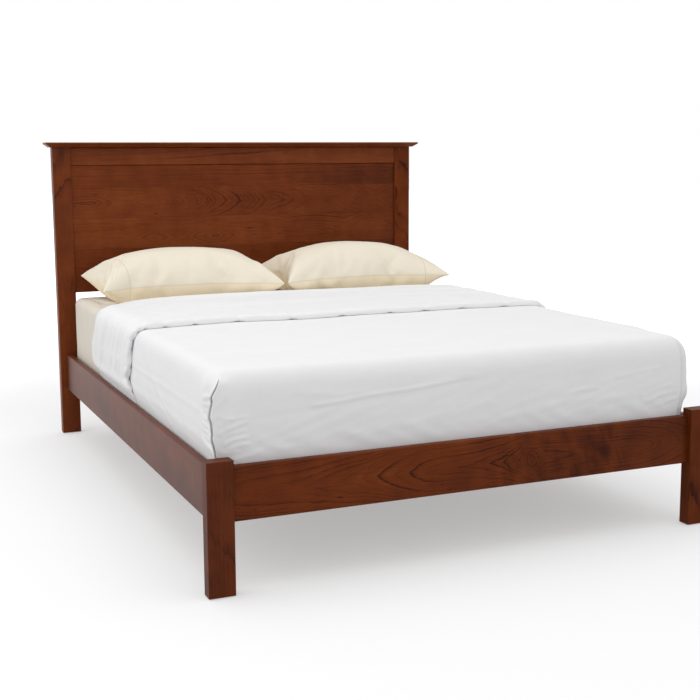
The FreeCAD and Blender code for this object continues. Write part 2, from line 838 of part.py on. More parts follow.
def pillow_form(middle_x, skin):
    """A filled pillow, flat where it rests and crowned above its seam.

    The skin is how far it lies inside the outside of its case. Each level is the same outline
    drawn in towards the middle by a share of its size."""
    low = pillow_bottom + skin
    seam = pillow_bottom + pillow_seam_height
    crown = pillow_height - pillow_seam_height - skin
    levels = [(pillow_rest_share, low), (pillow_low_share, (low + seam) / 2)]
    for turn in evenly(0, math.pi / 2, crown_step_count + 1):
        levels.append((1 - (1 - pillow_crown_share) * (1 - math.cos(turn)),
                       seam + crown * math.sin(turn)))
    return flat_sided([pillow_outline(middle_x, skin, share, z) for share, z in levels])


def pillowcase_hem(middle_x, side):
    """The open end of a pillowcase, lying nearly flat beyond the pillow's seam."""
    seam = pillow_bottom + pillow_seam_height
    half = pillow_depth / 2 - pillow_draw_in
    outlines = []
    for reach, height in ((-case_hem_lap, case_hem_height), (case_hem, case_hem_height / 2)):
        x = middle_x + side * (pillow_length / 2 + reach)
        outline = [(half, 0), (half - height, height / 2), (height - half, height / 2),
                   (-half, 0), (height - half, -height / 2), (half - height, -height / 2)]
        outlines.append([Vector(x, pillow_middle_y + y, seam + z) for y, z in outline])
    return flat_sided(outlines)


def pillow_middle_x(side):
    return pillow_shift + side * (pillow_length + pillow_between) / 2


def pillow(side):
    return pillow_form(pillow_middle_x(side), case_thickness + 2 * soft_clearance)


def pillowcase(side):
    """The case as a thin skin round its pillow, with the mouth at the bed's side."""
    middle_x = pillow_middle_x(side)
    outer = pillow_form(middle_x, 0.0).fuse(pillowcase_hem(middle_x, side))
    return outer.cut(pillow_form(middle_x, case_thickness)).removeSplitter()


# ---------------------------------------------------------------- the assembly
def assembly():
    """Every node of the bed, by name."""
    nodes = {}
    for name, side in SIDES.items():
        nodes["head_post_" + name] = post(side, HEAD)
        nodes["foot_post_" + name] = post(side, FOOT)
        nodes["side_rail_" + name] = side_rail(side)
        nodes["cleat_" + name] = cleat(side)
        for end_name, end in ENDS.items():
            nodes["hook_plate_" + end_name + "_" + name] = hook_plate(side, end)
            nodes["slot_plate_" + end_name + "_" + name] = slot_plate(side, end)
        nodes["pillow_" + name] = pillow(side)
        nodes["pillowcase_" + name] = pillowcase(side)
    nodes["headboard_top_rail"] = headboard_top_rail()
    nodes["headboard_panel"] = headboard_panel()
    nodes["headboard_lower_rail"] = head_rail_with_holes()
    nodes["headboard_cap"] = headboard_cap()
    nodes["cap_dowels"] = cap_dowels()
    nodes["foot_rail"] = foot_rail()
    nodes["post_glides"] = post_glides()
    nodes["slot_plate_screws"] = plate_screws(1)
    nodes["hook_plate_screws"] = plate_screws(-1)
    nodes["cleat_screws"] = cleat_screws()
    nodes["slat_screws"] = slat_screws()
    for i, y in enumerate(slat_ys):
        nodes["slat_%02d" % (i + 1)] = slat(y)
    nodes["centre_beam"] = centre_beam()
    nodes["beam_saddle_head"] = beam_saddle(HEAD)
    nodes["beam_saddle_foot"] = beam_saddle(FOOT)
    nodes["saddle_screws"] = saddle_screws()
    nodes["leg_hanger_bolts"] = Part.makeCompound([hanger_bolt(y) for y in leg_ys])
    for i, y in enumerate(leg_ys):
        nodes["centre_leg_%d" % (i + 1)] = centre_leg(y)
        nodes["leg_insert_%d" % (i + 1)] = leg_insert(y)
        nodes["levelling_glide_%d" % (i + 1)] = levelling_glide(y)
    nodes["mattress"] = mattress_form(0.0)
    nodes["fitted_sheet"] = fitted_sheet()
    nodes["cover"] = cover()
    return nodes


os.makedirs("parts", exist_ok=True)
for node, shape in assembly().items():
    shape.exportStep("parts/" + node + ".step")
    print(node, "solids", len(shape.Solids), "valid", shape.isValid(),
          "volume_cm3", round(shape.Volume / 1000, 2))
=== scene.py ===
# %% [markdown]
# # A panel bed in stained cherry
# The bed is a joined wooden frame with a mattress, a fitted sheet, a turned-back
# cover and two pillows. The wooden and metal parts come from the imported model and
# keep their shapes, so this script gives them their finishes. The soft parts are
# modelled here, inside the space that the model holds for them.

# %% Load the bed's frame
import math

import bmesh
import bpy
import numpy as np
from mathutils import Matrix, Vector, noise
from mathutils.bvhtree import BVHTree


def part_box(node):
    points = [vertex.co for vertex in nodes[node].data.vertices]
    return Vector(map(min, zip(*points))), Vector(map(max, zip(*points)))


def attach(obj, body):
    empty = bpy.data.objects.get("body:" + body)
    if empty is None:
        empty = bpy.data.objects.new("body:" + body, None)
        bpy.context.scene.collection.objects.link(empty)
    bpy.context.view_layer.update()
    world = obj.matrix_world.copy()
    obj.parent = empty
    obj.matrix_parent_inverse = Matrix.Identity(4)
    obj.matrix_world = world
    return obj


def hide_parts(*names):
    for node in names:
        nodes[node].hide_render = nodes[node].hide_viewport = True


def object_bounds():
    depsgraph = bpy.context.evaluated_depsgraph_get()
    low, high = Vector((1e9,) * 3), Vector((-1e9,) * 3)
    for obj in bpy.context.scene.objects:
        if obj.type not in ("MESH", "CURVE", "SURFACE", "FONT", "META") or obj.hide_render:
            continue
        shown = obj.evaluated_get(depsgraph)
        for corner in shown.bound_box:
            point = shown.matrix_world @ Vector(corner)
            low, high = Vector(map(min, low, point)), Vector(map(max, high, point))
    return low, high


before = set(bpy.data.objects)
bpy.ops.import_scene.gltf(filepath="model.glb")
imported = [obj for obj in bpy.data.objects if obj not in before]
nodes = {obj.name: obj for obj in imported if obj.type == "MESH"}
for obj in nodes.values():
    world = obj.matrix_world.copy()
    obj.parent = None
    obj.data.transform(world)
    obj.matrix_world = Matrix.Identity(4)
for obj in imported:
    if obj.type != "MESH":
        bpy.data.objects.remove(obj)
cad_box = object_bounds()
print("pieces loaded:", len(nodes))
print("the bed's box:", [tuple(round(v, 4) for v in corner) for corner in cad_box])

# %% [markdown]
# ## The camera
# The bed is seen from its foot and a little to the left, from about eye height,
# so that its left side and its foot both show. Three turns aim the camera: round
# the upright axis, down towards the bed, and a slight roll. The turns are built
# from the direction of view, which is easier to read than three mixed angles.

# %% Camera
image_side = 700
focal_pixels = 1183.09
centre_pixel = (338.42, 331.45)
camera_place = Vector((-1.6808, -3.9796, 1.1542))
yaw, pitch, roll = (math.radians(angle) for angle in (23.072, 8.266, -0.394))

ahead = Vector((math.sin(yaw) * math.cos(pitch), math.cos(yaw) * math.cos(pitch),
                -math.sin(pitch)))
level = Vector((math.cos(yaw), -math.sin(yaw), 0))
upward = level.cross(ahead)
across = level * math.cos(roll) + upward * math.sin(roll)
upright = upward * math.cos(roll) - level * math.sin(roll)

bpy.ops.object.select_all(action="DESELECT")
bpy.ops.object.camera_add(location=camera_place)
camera = bpy.context.object
turn = Matrix((across, upright, -ahead)).transposed()
camera.matrix_world = Matrix.Translation(camera_place) @ turn.to_4x4()
camera.data.sensor_width = 36
camera.data.lens = focal_pixels / image_side * camera.data.sensor_width
camera.data.shift_x = (image_side / 2 - centre_pixel[0]) / image_side
camera.data.shift_y = (centre_pixel[1] - image_side / 2) / image_side
camera.data.clip_end = 200
bpy.context.scene.camera = camera
print("camera lens:", round(camera.data.lens, 2), "mm")

# %% [markdown]
# ## Nodes by hand
# Every finish below is a graph of shader nodes. A Value wraps one output of a node
# so that it can stand in a plain sum: each plus, minus, times or divide adds one
# Math node to the graph. The other helpers add a node of any kind, list a node's
# outputs, and fill an input with a number, a colour or a Value.

# %% Values and nodes
class Value:
    """A node's output that can stand in a sum, where each step adds a Math node."""

    def __init__(self, socket):
        self.socket, self.tree = socket, socket.id_data

    def __add__(self, other):
        return maths("ADD", self, other)

    def __sub__(self, other):
        return maths("SUBTRACT", self, other)

    def __rsub__(self, other):
        return maths("SUBTRACT", other, self)

    def __mul__(self, other):
        return maths("MULTIPLY", self, other)

    def __truediv__(self, other):
        return maths("DIVIDE", self, other)


def put(socket, value):
    """Links a Value to the socket, or writes a plain number or colour on it."""
    if isinstance(value, Value):
        socket.id_data.links.new(value.socket, socket)
    else:
        socket.default_value = value


def node(tree, kind, inputs=(), **settings):
    """Adds a node of that kind, sets its properties, then fills its inputs."""
    made = tree.nodes.new("ShaderNode" + kind)
    for name, value in settings.items():
        setattr(made, name, value)
    for name, value in dict(inputs).items():
        put(made.inputs[name], value)
    return made


def outs(made):
    """The outputs of a node, as Values by their names."""
    return {socket.name: Value(socket) for socket in made.outputs}


def maths(operation, *values):
    """One step of arithmetic on numbers and at least one Value."""
    tree = next(value.tree for value in values if isinstance(value, Value))
    return outs(node(tree, "Math", enumerate(values), operation=operation))["Value"]


print("nodes can be added by hand")

# %% [markdown]
# A few graphs come back in nearly every finish: a place taken apart and put together
# again, a range stretched onto another, a value turned into colours, a height that
# shows as fine relief, and noise drawn out along one direction, such as the fibres
# of wood or the threads of cloth.

# %% Graphs that come back
def apart(place):
    """The X, Y and Z of a place."""
    return outs(node(place.tree, "SeparateXYZ", {"Vector": place}))


def together(x, y, z=0.0):
    """A place from its X, Y and Z."""
    return outs(node(x.tree, "CombineXYZ", {"X": x, "Y": y, "Z": z}))["Vector"]


def spread(value, low, high, to_low=0.0, to_high=1.0, smooth=True):
    """Stretches a value between two levels onto a new range."""
    made = node(value.tree, "MapRange", {"Value": value, "From Min": low, "From Max": high,
                                         "To Min": to_low, "To Max": to_high},
                interpolation_type="SMOOTHSTEP" if smooth else "LINEAR")
    return outs(made)["Result"]


def coloured(value, *stops):
    """A colour ramp. Each stop gives a place from 0 to 1 and the colour there."""
    made = node(value.tree, "ValToRGB", {"Fac": value})
    elements = made.color_ramp.elements
    elements[0].position, elements[1].position = stops[0][0], stops[-1][0]
    for place, _ in stops[1:-1]:
        elements.new(place)
    for element, (_, colour) in zip(elements, stops):
        element.color = (*colour, 1)
    return outs(made)["Color"]


def relief(shader, height, strength, distance):
    """Lets a height show as fine bumps in the surface."""
    bump = node(height.tree, "Bump", {"Height": height, "Strength": strength,
                                      "Distance": distance})
    put(shader.inputs["Normal"], outs(bump)["Normal"])


def streaks(place, scale, detail, roughness=0.5):
    """Noise with its own scale on each axis, so that it can be drawn out along one."""
    drawn = node(place.tree, "VectorMath", {0: place, 1: scale}, operation="MULTIPLY")
    made = node(place.tree, "TexNoise", {"Vector": outs(drawn)["Vector"], "Scale": 1.0,
                                         "Detail": detail, "Roughness": roughness})
    return outs(made)["Fac"]


def new_group(name, inputs, outputs):
    """A shader node group with named inputs, as (kind, name, value), and outputs."""
    group = bpy.data.node_groups.new(name, "ShaderNodeTree")
    for kind, label, value in inputs:
        socket = group.interface.new_socket(label, in_out="INPUT",
                                            socket_type="NodeSocket" + kind)
        if value is not None:
            socket.default_value = value
    for label in outputs:
        group.interface.new_socket(label, in_out="OUTPUT", socket_type="NodeSocketFloat")
    return group, outs(group.nodes.new("NodeGroupInput")), \
        group.nodes.new("NodeGroupOutput").inputs


def new_material(name):
    """A material with an empty Principled shader, ready for its graph."""
    made = bpy.data.materials.new(name)
    made.use_nodes = True
    return made, made.node_tree, made.node_tree.nodes["Principled BSDF"]


print("helpers ready")

# %% [markdown]
# ## The studio
# A pale floor runs off in every direction. To the camera it is plain white where
# light falls on it and grey in the bed's shadow, because a little of its own light
# is added for the camera only. The bed itself never receives that extra light.

# %% Floor
floor_colour = (0.64, 0.64, 0.645, 1)
floor_lift, far_lift = 0.38, 1.0     # its own light near the bed, and far away
near_bed, far_away = 1.9, 5.0        # metres from the middle of the bed
bpy.ops.object.select_all(action="DESELECT")
bpy.ops.mesh.primitive_circle_add(vertices=64, radius=40, fill_type="NGON",
                                  location=(0, 0, cad_box[0][2]))
floor = bpy.context.object
floor.name = "floor"
bpy.ops.object.transform_apply(location=True)
floor_paint, tree, shader = new_material("floor paint")
tree.nodes.remove(shader)


def seen_directly(tree):
    """One for the camera and for mirrors and glass, nothing for other light."""
    path = outs(node(tree, "LightPath"))
    mirrored = maths("MAXIMUM", path["Is Glossy Ray"], path["Is Transmission Ray"])
    return maths("MAXIMUM", path["Is Camera Ray"], mirrored)


matt = outs(node(tree, "BsdfDiffuse", {"Color": floor_colour}))["BSDF"]
place = outs(node(tree, "TexCoord"))["Object"]
away = outs(node(tree, "VectorMath", {0: place}, operation="LENGTH"))["Value"]
glow = seen_directly(tree) * spread(away, near_bed, far_away, floor_lift, far_lift)
lift = outs(node(tree, "Emission", {"Color": (1, 1, 1, 1), "Strength": glow}))["Emission"]
both = outs(node(tree, "AddShader", {0: matt, 1: lift}))["Shader"]
put(tree.nodes["Material Output"].inputs["Surface"], both)
floor.data.materials.append(floor_paint)
print("floor lies at z =", round(cad_box[0][2], 4))

# %% [markdown]
# A soft white surround lights the bed evenly. A wide softbox overhead makes the
# top of the bedding the brightest face, and a second one on the left lifts that
# side a little above the foot, which stays the darkest of the three.

# %% Surround and softboxes
sky_level = 0.80
world = bpy.data.worlds.new("studio")
bpy.context.scene.world = world
world.use_nodes = True
sky = world.node_tree.nodes["Background"]
sky.inputs["Color"].default_value = (1, 1, 1, 1)
put(sky.inputs["Strength"], spread(seen_directly(world.node_tree), 0, 1, sky_level, 1,
                                   smooth=False))


def softbox(name, place, target, size, power):
    """A square lamp at a place, facing a target."""
    bpy.ops.object.light_add(type="AREA", location=place)
    lamp = bpy.context.object
    lamp.name = name
    lamp.data.size = size
    lamp.data.energy = power
    lamp.rotation_euler = (Vector(target) - Vector(place)).to_track_quat("-Z", "Y").to_euler()


softbox("overhead softbox", (-0.6, -0.9, 3.9), (-0.1, -0.1, 0.4), size=3.6, power=29)
softbox("left softbox", (-4.2, 0.2, 2.4), (0, 0, 0.4), size=2.4, power=27)
bpy.context.scene.view_settings.view_transform = "Standard"

# %% [markdown]
# ## Flat-sawn figure
# A board sawn from the side of a log cuts across the growth rings at a slant. The
# rings show as long lines at the edges and as nested arches down the middle. The
# group below works the same way: it measures how far a point lies from the heart
# of the log, which runs nearly along the board. Wide pieces are glued up from
# several boards, and chance gives each its own part of the log.

# %% Grain group: distance from the log's heart
grain, given, result = new_group(
    "flat sawn grain",
    (("Vector", "Vector", None), ("Float", "Ring Spacing", 0.007),
     ("Float", "Heart Depth", 0.05), ("Float", "Heart Drift", 0.05),
     ("Float", "Heart Offset", 0.0),
     ("Float", "Waviness", 0.02), ("Float", "Board Width", 10.0),
     ("Float", "Board Start", 5.0), ("Float", "Seed", 0.0)),
    ("Ring", "Fibre", "Pore", "Tone", "Gum", "Joint", "Height"))


def random_value(value, salt):
    """A fixed random number from 0 to 1 for each whole value."""
    return outs(node(value.tree, "TexWhiteNoise", {"W": value + salt},
                     noise_dimensions="1D"))["Value"]


axes = apart(given["Vector"])
edge_place = (axes["Y"] + given["Board Start"]) / given["Board Width"]
board_seed = maths("FLOOR", edge_place) * 7.31 + given["Seed"]
chance = [random_value(board_seed, salt) for salt in (0.5, 11.3, 23.9)]
in_board = given["Board Width"] * (maths("FRACT", edge_place) - 0.5)
board_place = together(axes["X"] + chance[0] * 6.0, in_board + chance[1] * 3.0,
                       axes["Z"] + chance[2])

sway = streaks(board_place, (1.7, 5.0, 5.0), 2.0) - 0.5
from_heart = in_board - given["Heart Offset"] + sway * given["Waviness"]
rise_and_fall = streaks(board_place, (2.6, 1.5, 1.5), 1.0) * (given["Waviness"] * 4.0)
depth = given["Heart Depth"] + axes["Z"] + (axes["X"] * given["Heart Drift"] + rise_and_fall)
distance = maths("SQRT", from_heart * from_heart + depth * depth)

ripple = streaks(board_place, (6.0, 22.0, 22.0), 3.0) - 0.5
jitter = streaks(board_place, (24.0, 90.0, 90.0), 2.0) - 0.5
distance = distance + ripple * (given["Waviness"] * 0.6)
# The arches come to a point where a ring crosses the middle of the log.
point_width, point_depth = 0.012, 0.0030
point = maths("EXPONENT", maths("ABSOLUTE", from_heart) / -point_width)
distance = distance - point * point_depth + jitter * 0.0030
print("grain group so far:", len(grain.nodes), "nodes")

# %% [markdown]
# Each whole number of ring spacings is one ring. The colour deepens slowly through
# a ring, ends in a crisp dark line and starts again pale. Some rings are stronger
# than others, and the strength fades in and out along the board. Fibres, pores,
# flecks of gum and the thin glue joints between boards are drawn on top.

# %% Grain group: rings and small marks
uneven = outs(node(grain, "TexNoise", {"W": distance * 55.0, "Detail": 1.0, "Scale": 1.0},
                   noise_dimensions="1D"))["Fac"]
rings = uneven * 2.2 + distance / given["Ring Spacing"]
through = maths("FRACT", rings)
soft_and_crisp = spread(through, 0.40, 0.97) * 0.5 + spread(through, 0.74, 0.95) * 0.5
late_wood = soft_and_crisp * spread(through, 0.97, 1.0, 1.0, 0.0)
patchy = spread(streaks(board_place, (3.0, 16.0, 16.0), 1.0), 0.36, 0.64, 0.25, 1.0)
ring_strength = spread(random_value(maths("FLOOR", rings), 3.3), 0.15, 0.95, 0.22, 1.0) * patchy

fibre = streaks(board_place, (9.0, 300.0, 300.0), 5.0, 0.66)
pore = spread(streaks(board_place, (42.0, 950.0, 950.0), 1.0), 0.60, 0.72)
gum_fleck = spread(streaks(board_place, (22.0, 130.0, 130.0), 1.0), 0.735, 0.79)
gum_patch = spread(streaks(board_place, (2.2, 7.0, 7.0), 0.0), 0.5, 0.62)
long_tone = streaks(board_place, (1.6, 8.0, 8.0), 3.0)
short_tone = streaks(board_place, (14.0, 9.0, 9.0), 2.0)
to_joint = 0.5 - maths("ABSOLUTE", maths("FRACT", edge_place) - 0.5)
joint = spread(to_joint * given["Board Width"], 0.0, 0.0009, 1.0, 0.0)
for name, value in (("Ring", late_wood * ring_strength), ("Fibre", fibre), ("Pore", pore),
                    ("Gum", gum_fleck * gum_patch), ("Joint", joint),
                    ("Tone", long_tone * 0.6 + short_tone * 0.4 + (chance[1] - 0.5) * 0.22),
                    ("Height", fibre * 0.4 - (pore + joint))):
    put(result[name], value)
print("grain group:", len(grain.nodes), "nodes")

# %% [markdown]
# ## Stained cherry
# Cherry is a fine, even wood with soft growth lines, short dark pores and a few
# dark flecks of gum. The stain under the satin lacquer turns it a deep red brown
# and makes the late part of each ring a little darker. Each piece of the bed gets
# its own cut of the log: the order of the axes says which way its grain runs, and
# a shift moves it to another part of the wood.

# %% Wood finish
def wood(name, order, shift, shades, seed, spacing=0.0075, heart=0.035, heart_drift=0.03,
         heart_offset=0.0, waviness=0.008, board_width=10.0, board_start=5.0, roughness=0.42,
         gloss=0.10, line=0.40, lift=0.0, curl=None, fade=None):
    """A finished board. order names the axes along, across and into the wood."""
    made, tree, shader = new_material(name)
    place = outs(node(tree, "TexCoord"))["Object"]
    axes = apart(place)
    turned = together(*(axes[axis] for axis in order))
    moved = outs(node(tree, "Mapping", {"Vector": turned, "Location": shift}))["Vector"]
    if callable(heart):
        heart, heart_drift, heart_offset = heart(moved)
    cut = outs(node(tree, "Group", {
        "Vector": moved, "Ring Spacing": spacing, "Heart Depth": heart,
        "Heart Drift": heart_drift, "Heart Offset": heart_offset, "Waviness": waviness,
        "Board Width": board_width, "Board Start": board_start, "Seed": seed},
        node_tree=grain))
    shade = cut["Tone"] + cut["Fibre"] * 0.50 + (lift - 0.19)
    if fade:
        start, end, amount = fade
        shade = shade - spread(axes[order[0]], start, end, smooth=False) * amount
    for mark, darkness in (("Ring", line), ("Pore", 0.12), ("Gum", 0.6), ("Joint", 0.35)):
        shade = shade - cut[mark] * darkness
    if curl:
        shade = shade + curl(moved)
    put(shader.inputs["Base Color"], coloured(shade, *zip((0.0, 0.5, 1.0), shades)))
    put(shader.inputs["Roughness"], cut["Fibre"] * 0.12 + (roughness - 0.06))
    relief(shader, cut["Height"], 0.35, 0.0002)
    shader.inputs["Specular IOR Level"].default_value = gloss
    return made


def paint(material, *names):
    """Puts a material on every slot of the named pieces."""
    for name in names:
        for slot in nodes[name].material_slots:
            slot.material = material


cherry_shades = ((0.045, 0.0085, 0.003), (0.162, 0.034, 0.0075), (0.270, 0.074, 0.018))
along_x, along_y, along_z = "XZY", "YZX", "ZXY"
print("cherry, from dark to light:", cherry_shades)

# %% [markdown]
# The foot rail and the headboard show the most of their figure. In both, the heart
# of the log comes nearer to the face in some places than in others. Where it comes
# near, the rings close into ovals, and where it sinks away they run out into long
# arches. A curve along each board draws that depth, from a list of places.

# %% The log's heart along a board
board_span, deepest = 1.5, 0.2        # what the curves cover, in metres


def heart_curve(along_board, line):
    """The depth of the log's heart along a board, from a list of (place, depth)."""
    drawn = along_board.tree.nodes.new("ShaderNodeFloatCurve")
    curve = drawn.mapping.curves[0]
    for end in (0, -1):
        curve.points[end].location = (float(end < 0), line[end][1] / deepest)
    for place, depth in line[1:-1]:
        curve.points.new(place / board_span + 0.5, depth / deepest).handle_type = "VECTOR"
    drawn.mapping.update()
    put(drawn.inputs["Value"], along_board * (1 / board_span) + 0.5)
    return outs(drawn)["Value"] * deepest


def foot_rail_heart(place):
    """Arches that point left along the rail, round a small knot, then point right."""
    depth = heart_curve(apart(place)["X"], (
        (-0.75, 0.135), (-0.55, 0.122), (-0.395, 0.110), (-0.21, 0.096), (-0.13, 0.090),
        (-0.03, 0.083), (0.086, 0.074), (0.14, 0.060), (0.18, 0.026), (0.22, 0.056),
        (0.40, 0.062), (0.55, 0.070), (0.66, 0.083), (0.75, 0.098)))
    return depth - 0.016, 0.0, 0.014


def curly_figure(place):
    """Broad shimmering bars across the grain near the right end of the foot rail."""
    axes = apart(place)
    leaning = together(axes["X"] + axes["Y"] * 0.35, axes["Y"] * 0.5)
    bars = streaks(leaning, (24.0, 24.0, 24.0), 2.5)
    held = streaks(place, (3.1, 3.1, 3.1), 0.0)
    where = spread(axes["X"], -0.05, 0.14) * spread(axes["X"], 0.44, 0.58, 1.0, 0.0)
    return (bars - 0.52) * 1.5 * (where * held)


board_width, lowest_joint = 0.130, 0.653


def panel_boards(place):
    """Each board of the panel: how the log's heart lies behind it along its length."""
    axes = apart(place)
    number = maths("FLOOR", (axes["Y"] - lowest_joint) / board_width)
    arches = heart_curve(axes["X"], (
        (-0.75, 0.030), (-0.66, 0.024), (-0.58, 0.044), (-0.50, 0.050), (-0.42, 0.034),
        (-0.36, 0.014), (-0.21, 0.052), (-0.06, 0.086), (0.14, 0.130), (0.35, 0.142),
        (0.45, 0.158), (0.56, 0.146), (0.65, 0.158), (0.75, 0.150)))
    ovals = heart_curve(axes["X"], (
        (-0.75, 0.066), (-0.545, 0.054), (-0.40, 0.026), (-0.27, 0.044), (-0.12, 0.014),
        (0.0, 0.040), (0.05, 0.028), (0.22, 0.054), (0.50, 0.068), (0.64, 0.016), (0.75, 0.050)))
    depth, offset = 0.045, 0.075
    for board_number, line, middle in ((2.0, arches, 0.0), (1.0, ovals, -0.022)):
        here = maths("COMPARE", number, board_number, 0.1)
        elsewhere = 1.0 - here
        depth = here * line + elsewhere * depth
        offset = here * middle + elsewhere * offset
    return depth - 0.020, 0.012, offset


print("the panel's boards are", board_width, "m wide")

# %% [markdown]
# Now every cherry piece gets its finish. A lift makes a piece lighter or darker as
# a whole, and the pieces on the right are set darker than those on the left. The
# rails and the panel also grow darker towards their right ends.

# %% Cherry pieces
cherry_pieces = {
    "head_post_left": (along_z, (0.00, 0.787, 0.0), dict(heart_offset=0.05, lift=-0.10)),
    "head_post_right": (along_z, (1.30, -0.787, 0.0), dict(heart_offset=-0.06, lift=-0.12,
                                                           gloss=0.05)),
    "foot_post_left": (along_z, (0.40, 0.787, 0.0), dict(heart_offset=0.06, lift=-0.17,
                                                         waviness=0.004)),
    "foot_post_right": (along_z, (2.10, -0.787, 0.0), dict(heart_offset=0.06, lift=-0.27,
                                                           gloss=0.05, waviness=0.004)),
    "side_rail_left": (along_y, (0.0, -0.25, 0.80), dict(
        heart_offset=0.20, waviness=0.010, line=0.12, gloss=0.20, lift=-0.17)),
    "side_rail_right": (along_y, (1.0, -0.25, -0.80), dict(
        heart_offset=0.19, waviness=0.010, line=0.12, gloss=0.20, lift=-0.17)),
    "foot_rail": (along_x, (0.0, -0.262, 1.06), dict(
        heart=foot_rail_heart, waviness=0.008, spacing=0.0058, line=0.52,
        lift=-0.09, curl=curly_figure, fade=(0.0, 0.75, 0.10), gloss=0.07)),
    "headboard_cap": (along_x, (0.6, -1.22, -1.04), dict(heart_offset=0.04)),
    "headboard_top_rail": (along_x, (2.2, -1.17, -1.05), dict(heart_offset=0.07, lift=0.05,
                                                              waviness=0.006)),
    "headboard_lower_rail": (along_x, (3.2, -0.56, -1.05), dict(heart_offset=0.03)),
}
for number, (name, (order, shift, cut)) in enumerate(cherry_pieces.items()):
    paint(wood("cherry " + name.replace("_", " "), order, shift, cherry_shades,
               seed=number * 3.7 + 1.0, **cut), name)
paint(wood("cherry headboard panel", along_x, (0.0, 0.0, -1.05), cherry_shades, seed=5.0,
           spacing=0.0058, heart=panel_boards, waviness=0.010, board_width=board_width,
           board_start=board_width - lowest_joint, line=0.50, lift=-0.02,
           fade=(0.05, 0.75, 0.22), gloss=0.08), "headboard_panel")
print("cherry pieces:", len(cherry_pieces) + 1)

# %% [markdown]
# ## The wood that isn't seen
# The slats, the cleats, the centre beam and its legs are plain, pale hardwood,
# planed but not stained. The same grain is used in a pale colour, with a rougher
# surface, since this wood has only a thin coat of oil.

# %% Plain hardwood and dowels
pale_shades = ((0.30, 0.19, 0.10), (0.52, 0.38, 0.23), (0.66, 0.52, 0.35))
beech_shades = ((0.42, 0.27, 0.15), (0.60, 0.44, 0.28), (0.70, 0.55, 0.38))
plain = dict(roughness=0.55, gloss=0.3, line=0.30, heart=0.06)
slats = sorted(name for name in nodes if name.startswith("slat_") and name[5:].isdigit())
for number, name in enumerate(slats):
    paint(wood("hardwood " + name.replace("_", " "), "XYZ", (number * 0.9, number * 0.37, 0),
               pale_shades, seed=20.0 + number, **plain), name)
paint(wood("hardwood lengthwise", along_y, (0.4, 0, 0), pale_shades, seed=40.0, **plain),
      "cleat_left", "cleat_right", "centre_beam")
paint(wood("hardwood upright", along_z, (0.2, 0, 0), pale_shades, seed=41.0, **plain),
      "centre_leg_1", "centre_leg_2", "beam_saddle_head", "beam_saddle_foot")
paint(wood("beech", along_z, (0.9, 0, 0), beech_shades, seed=42.0, **plain), "cap_dowels")
print("pale pieces:", len(slats) + 8)

# %% [markdown]
# ## Metal and nylon
# The hook-on plates and the threaded inserts are bright plated steel with faint
# brush marks. The screws are a darker steel. The glides under the posts are moulded
# dark nylon with a soft, low sheen.

# %% Steel and nylon
def steel(name, colour, roughness, brushed):
    """Plated metal with fine brush marks and a cloudy variation in its shine."""
    made, tree, shader = new_material(name)
    place = outs(node(tree, "TexCoord"))["Object"]
    marks = streaks(place, brushed, 3.0)
    cloud = streaks(place, (60, 60, 60), 2.0)
    dull = tuple(0.82 * v for v in colour)
    put(shader.inputs["Base Color"], coloured(cloud, (0.0, dull), (1.0, colour)))
    shader.inputs["Metallic"].default_value = 1.0
    put(shader.inputs["Roughness"], marks * 0.2 + (roughness - 0.1))
    relief(shader, marks, 0.2, 0.0001)
    return made


plated = ("hook_plate_head", "hook_plate_foot", "slot_plate_head", "slot_plate_foot",
          "leg_insert")
turned_steel = ("leg_hanger_bolts", "levelling_glide_1", "levelling_glide_2")
paint(steel("plated steel", (0.66, 0.66, 0.63), 0.32, (900, 900, 60)),
      *(name for name in nodes if name.startswith(plated)))
paint(steel("screw steel", (0.42, 0.40, 0.36), 0.38, (400, 400, 400)),
      *(name for name in nodes if name.endswith("screws") or name in turned_steel))
nylon, tree, shader = new_material("nylon")
mottle = streaks(outs(node(tree, "TexCoord"))["Object"], (180, 180, 180), 3.0)
put(shader.inputs["Base Color"], coloured(mottle, (0.0, (0.045, 0.032, 0.024)),
                                          (1.0, (0.085, 0.062, 0.046))))
put(shader.inputs["Roughness"], spread(mottle, 0.2, 0.8, 0.38, 0.52))
relief(shader, mottle, 0.2, 0.0001)
paint(nylon, "post_glides")
print("metal and nylon done")

# %% [markdown]
# ## Cotton
# All the bedding is plain-woven cotton. Close up the threads go over and under each
# other, and some are a little thicker than others. Both are drawn on each piece's
# own flat pattern, in metres, so the weave follows the cloth round every fold.

# %% Weave as a node group
weave, given, result = new_group(
    "plain weave", (("Vector", "Vector", None), ("Float", "Thread", 0.0007)),
    ("Height", "Slub", "Cloud"))
axes = apart(given["Vector"])
over_under = [maths("SINE", axes[axis] * math.pi / given["Thread"]) for axis in "XY"]
slub = streaks(given["Vector"], (900.0, 16.0, 1.0), 2.0) * 0.5 \
    + streaks(given["Vector"], (16.0, 900.0, 1.0), 2.0) * 0.5
put(result["Height"], over_under[0] * over_under[1] * 0.25 + slub)
put(result["Slub"], slub)
put(result["Cloud"], streaks(given["Vector"], (9.0, 9.0, 9.0), 3.0))
print("weave group:", len(weave.nodes), "nodes")

# %% [markdown]
# The finish is matt, with a touch of sheen from the loose fibres. Marks such as
# stripes, stitches and seams lie on the same flat pattern. Each mark is a function
# that gives a mask, a colour, and how deep the mark is drawn into the cloth.

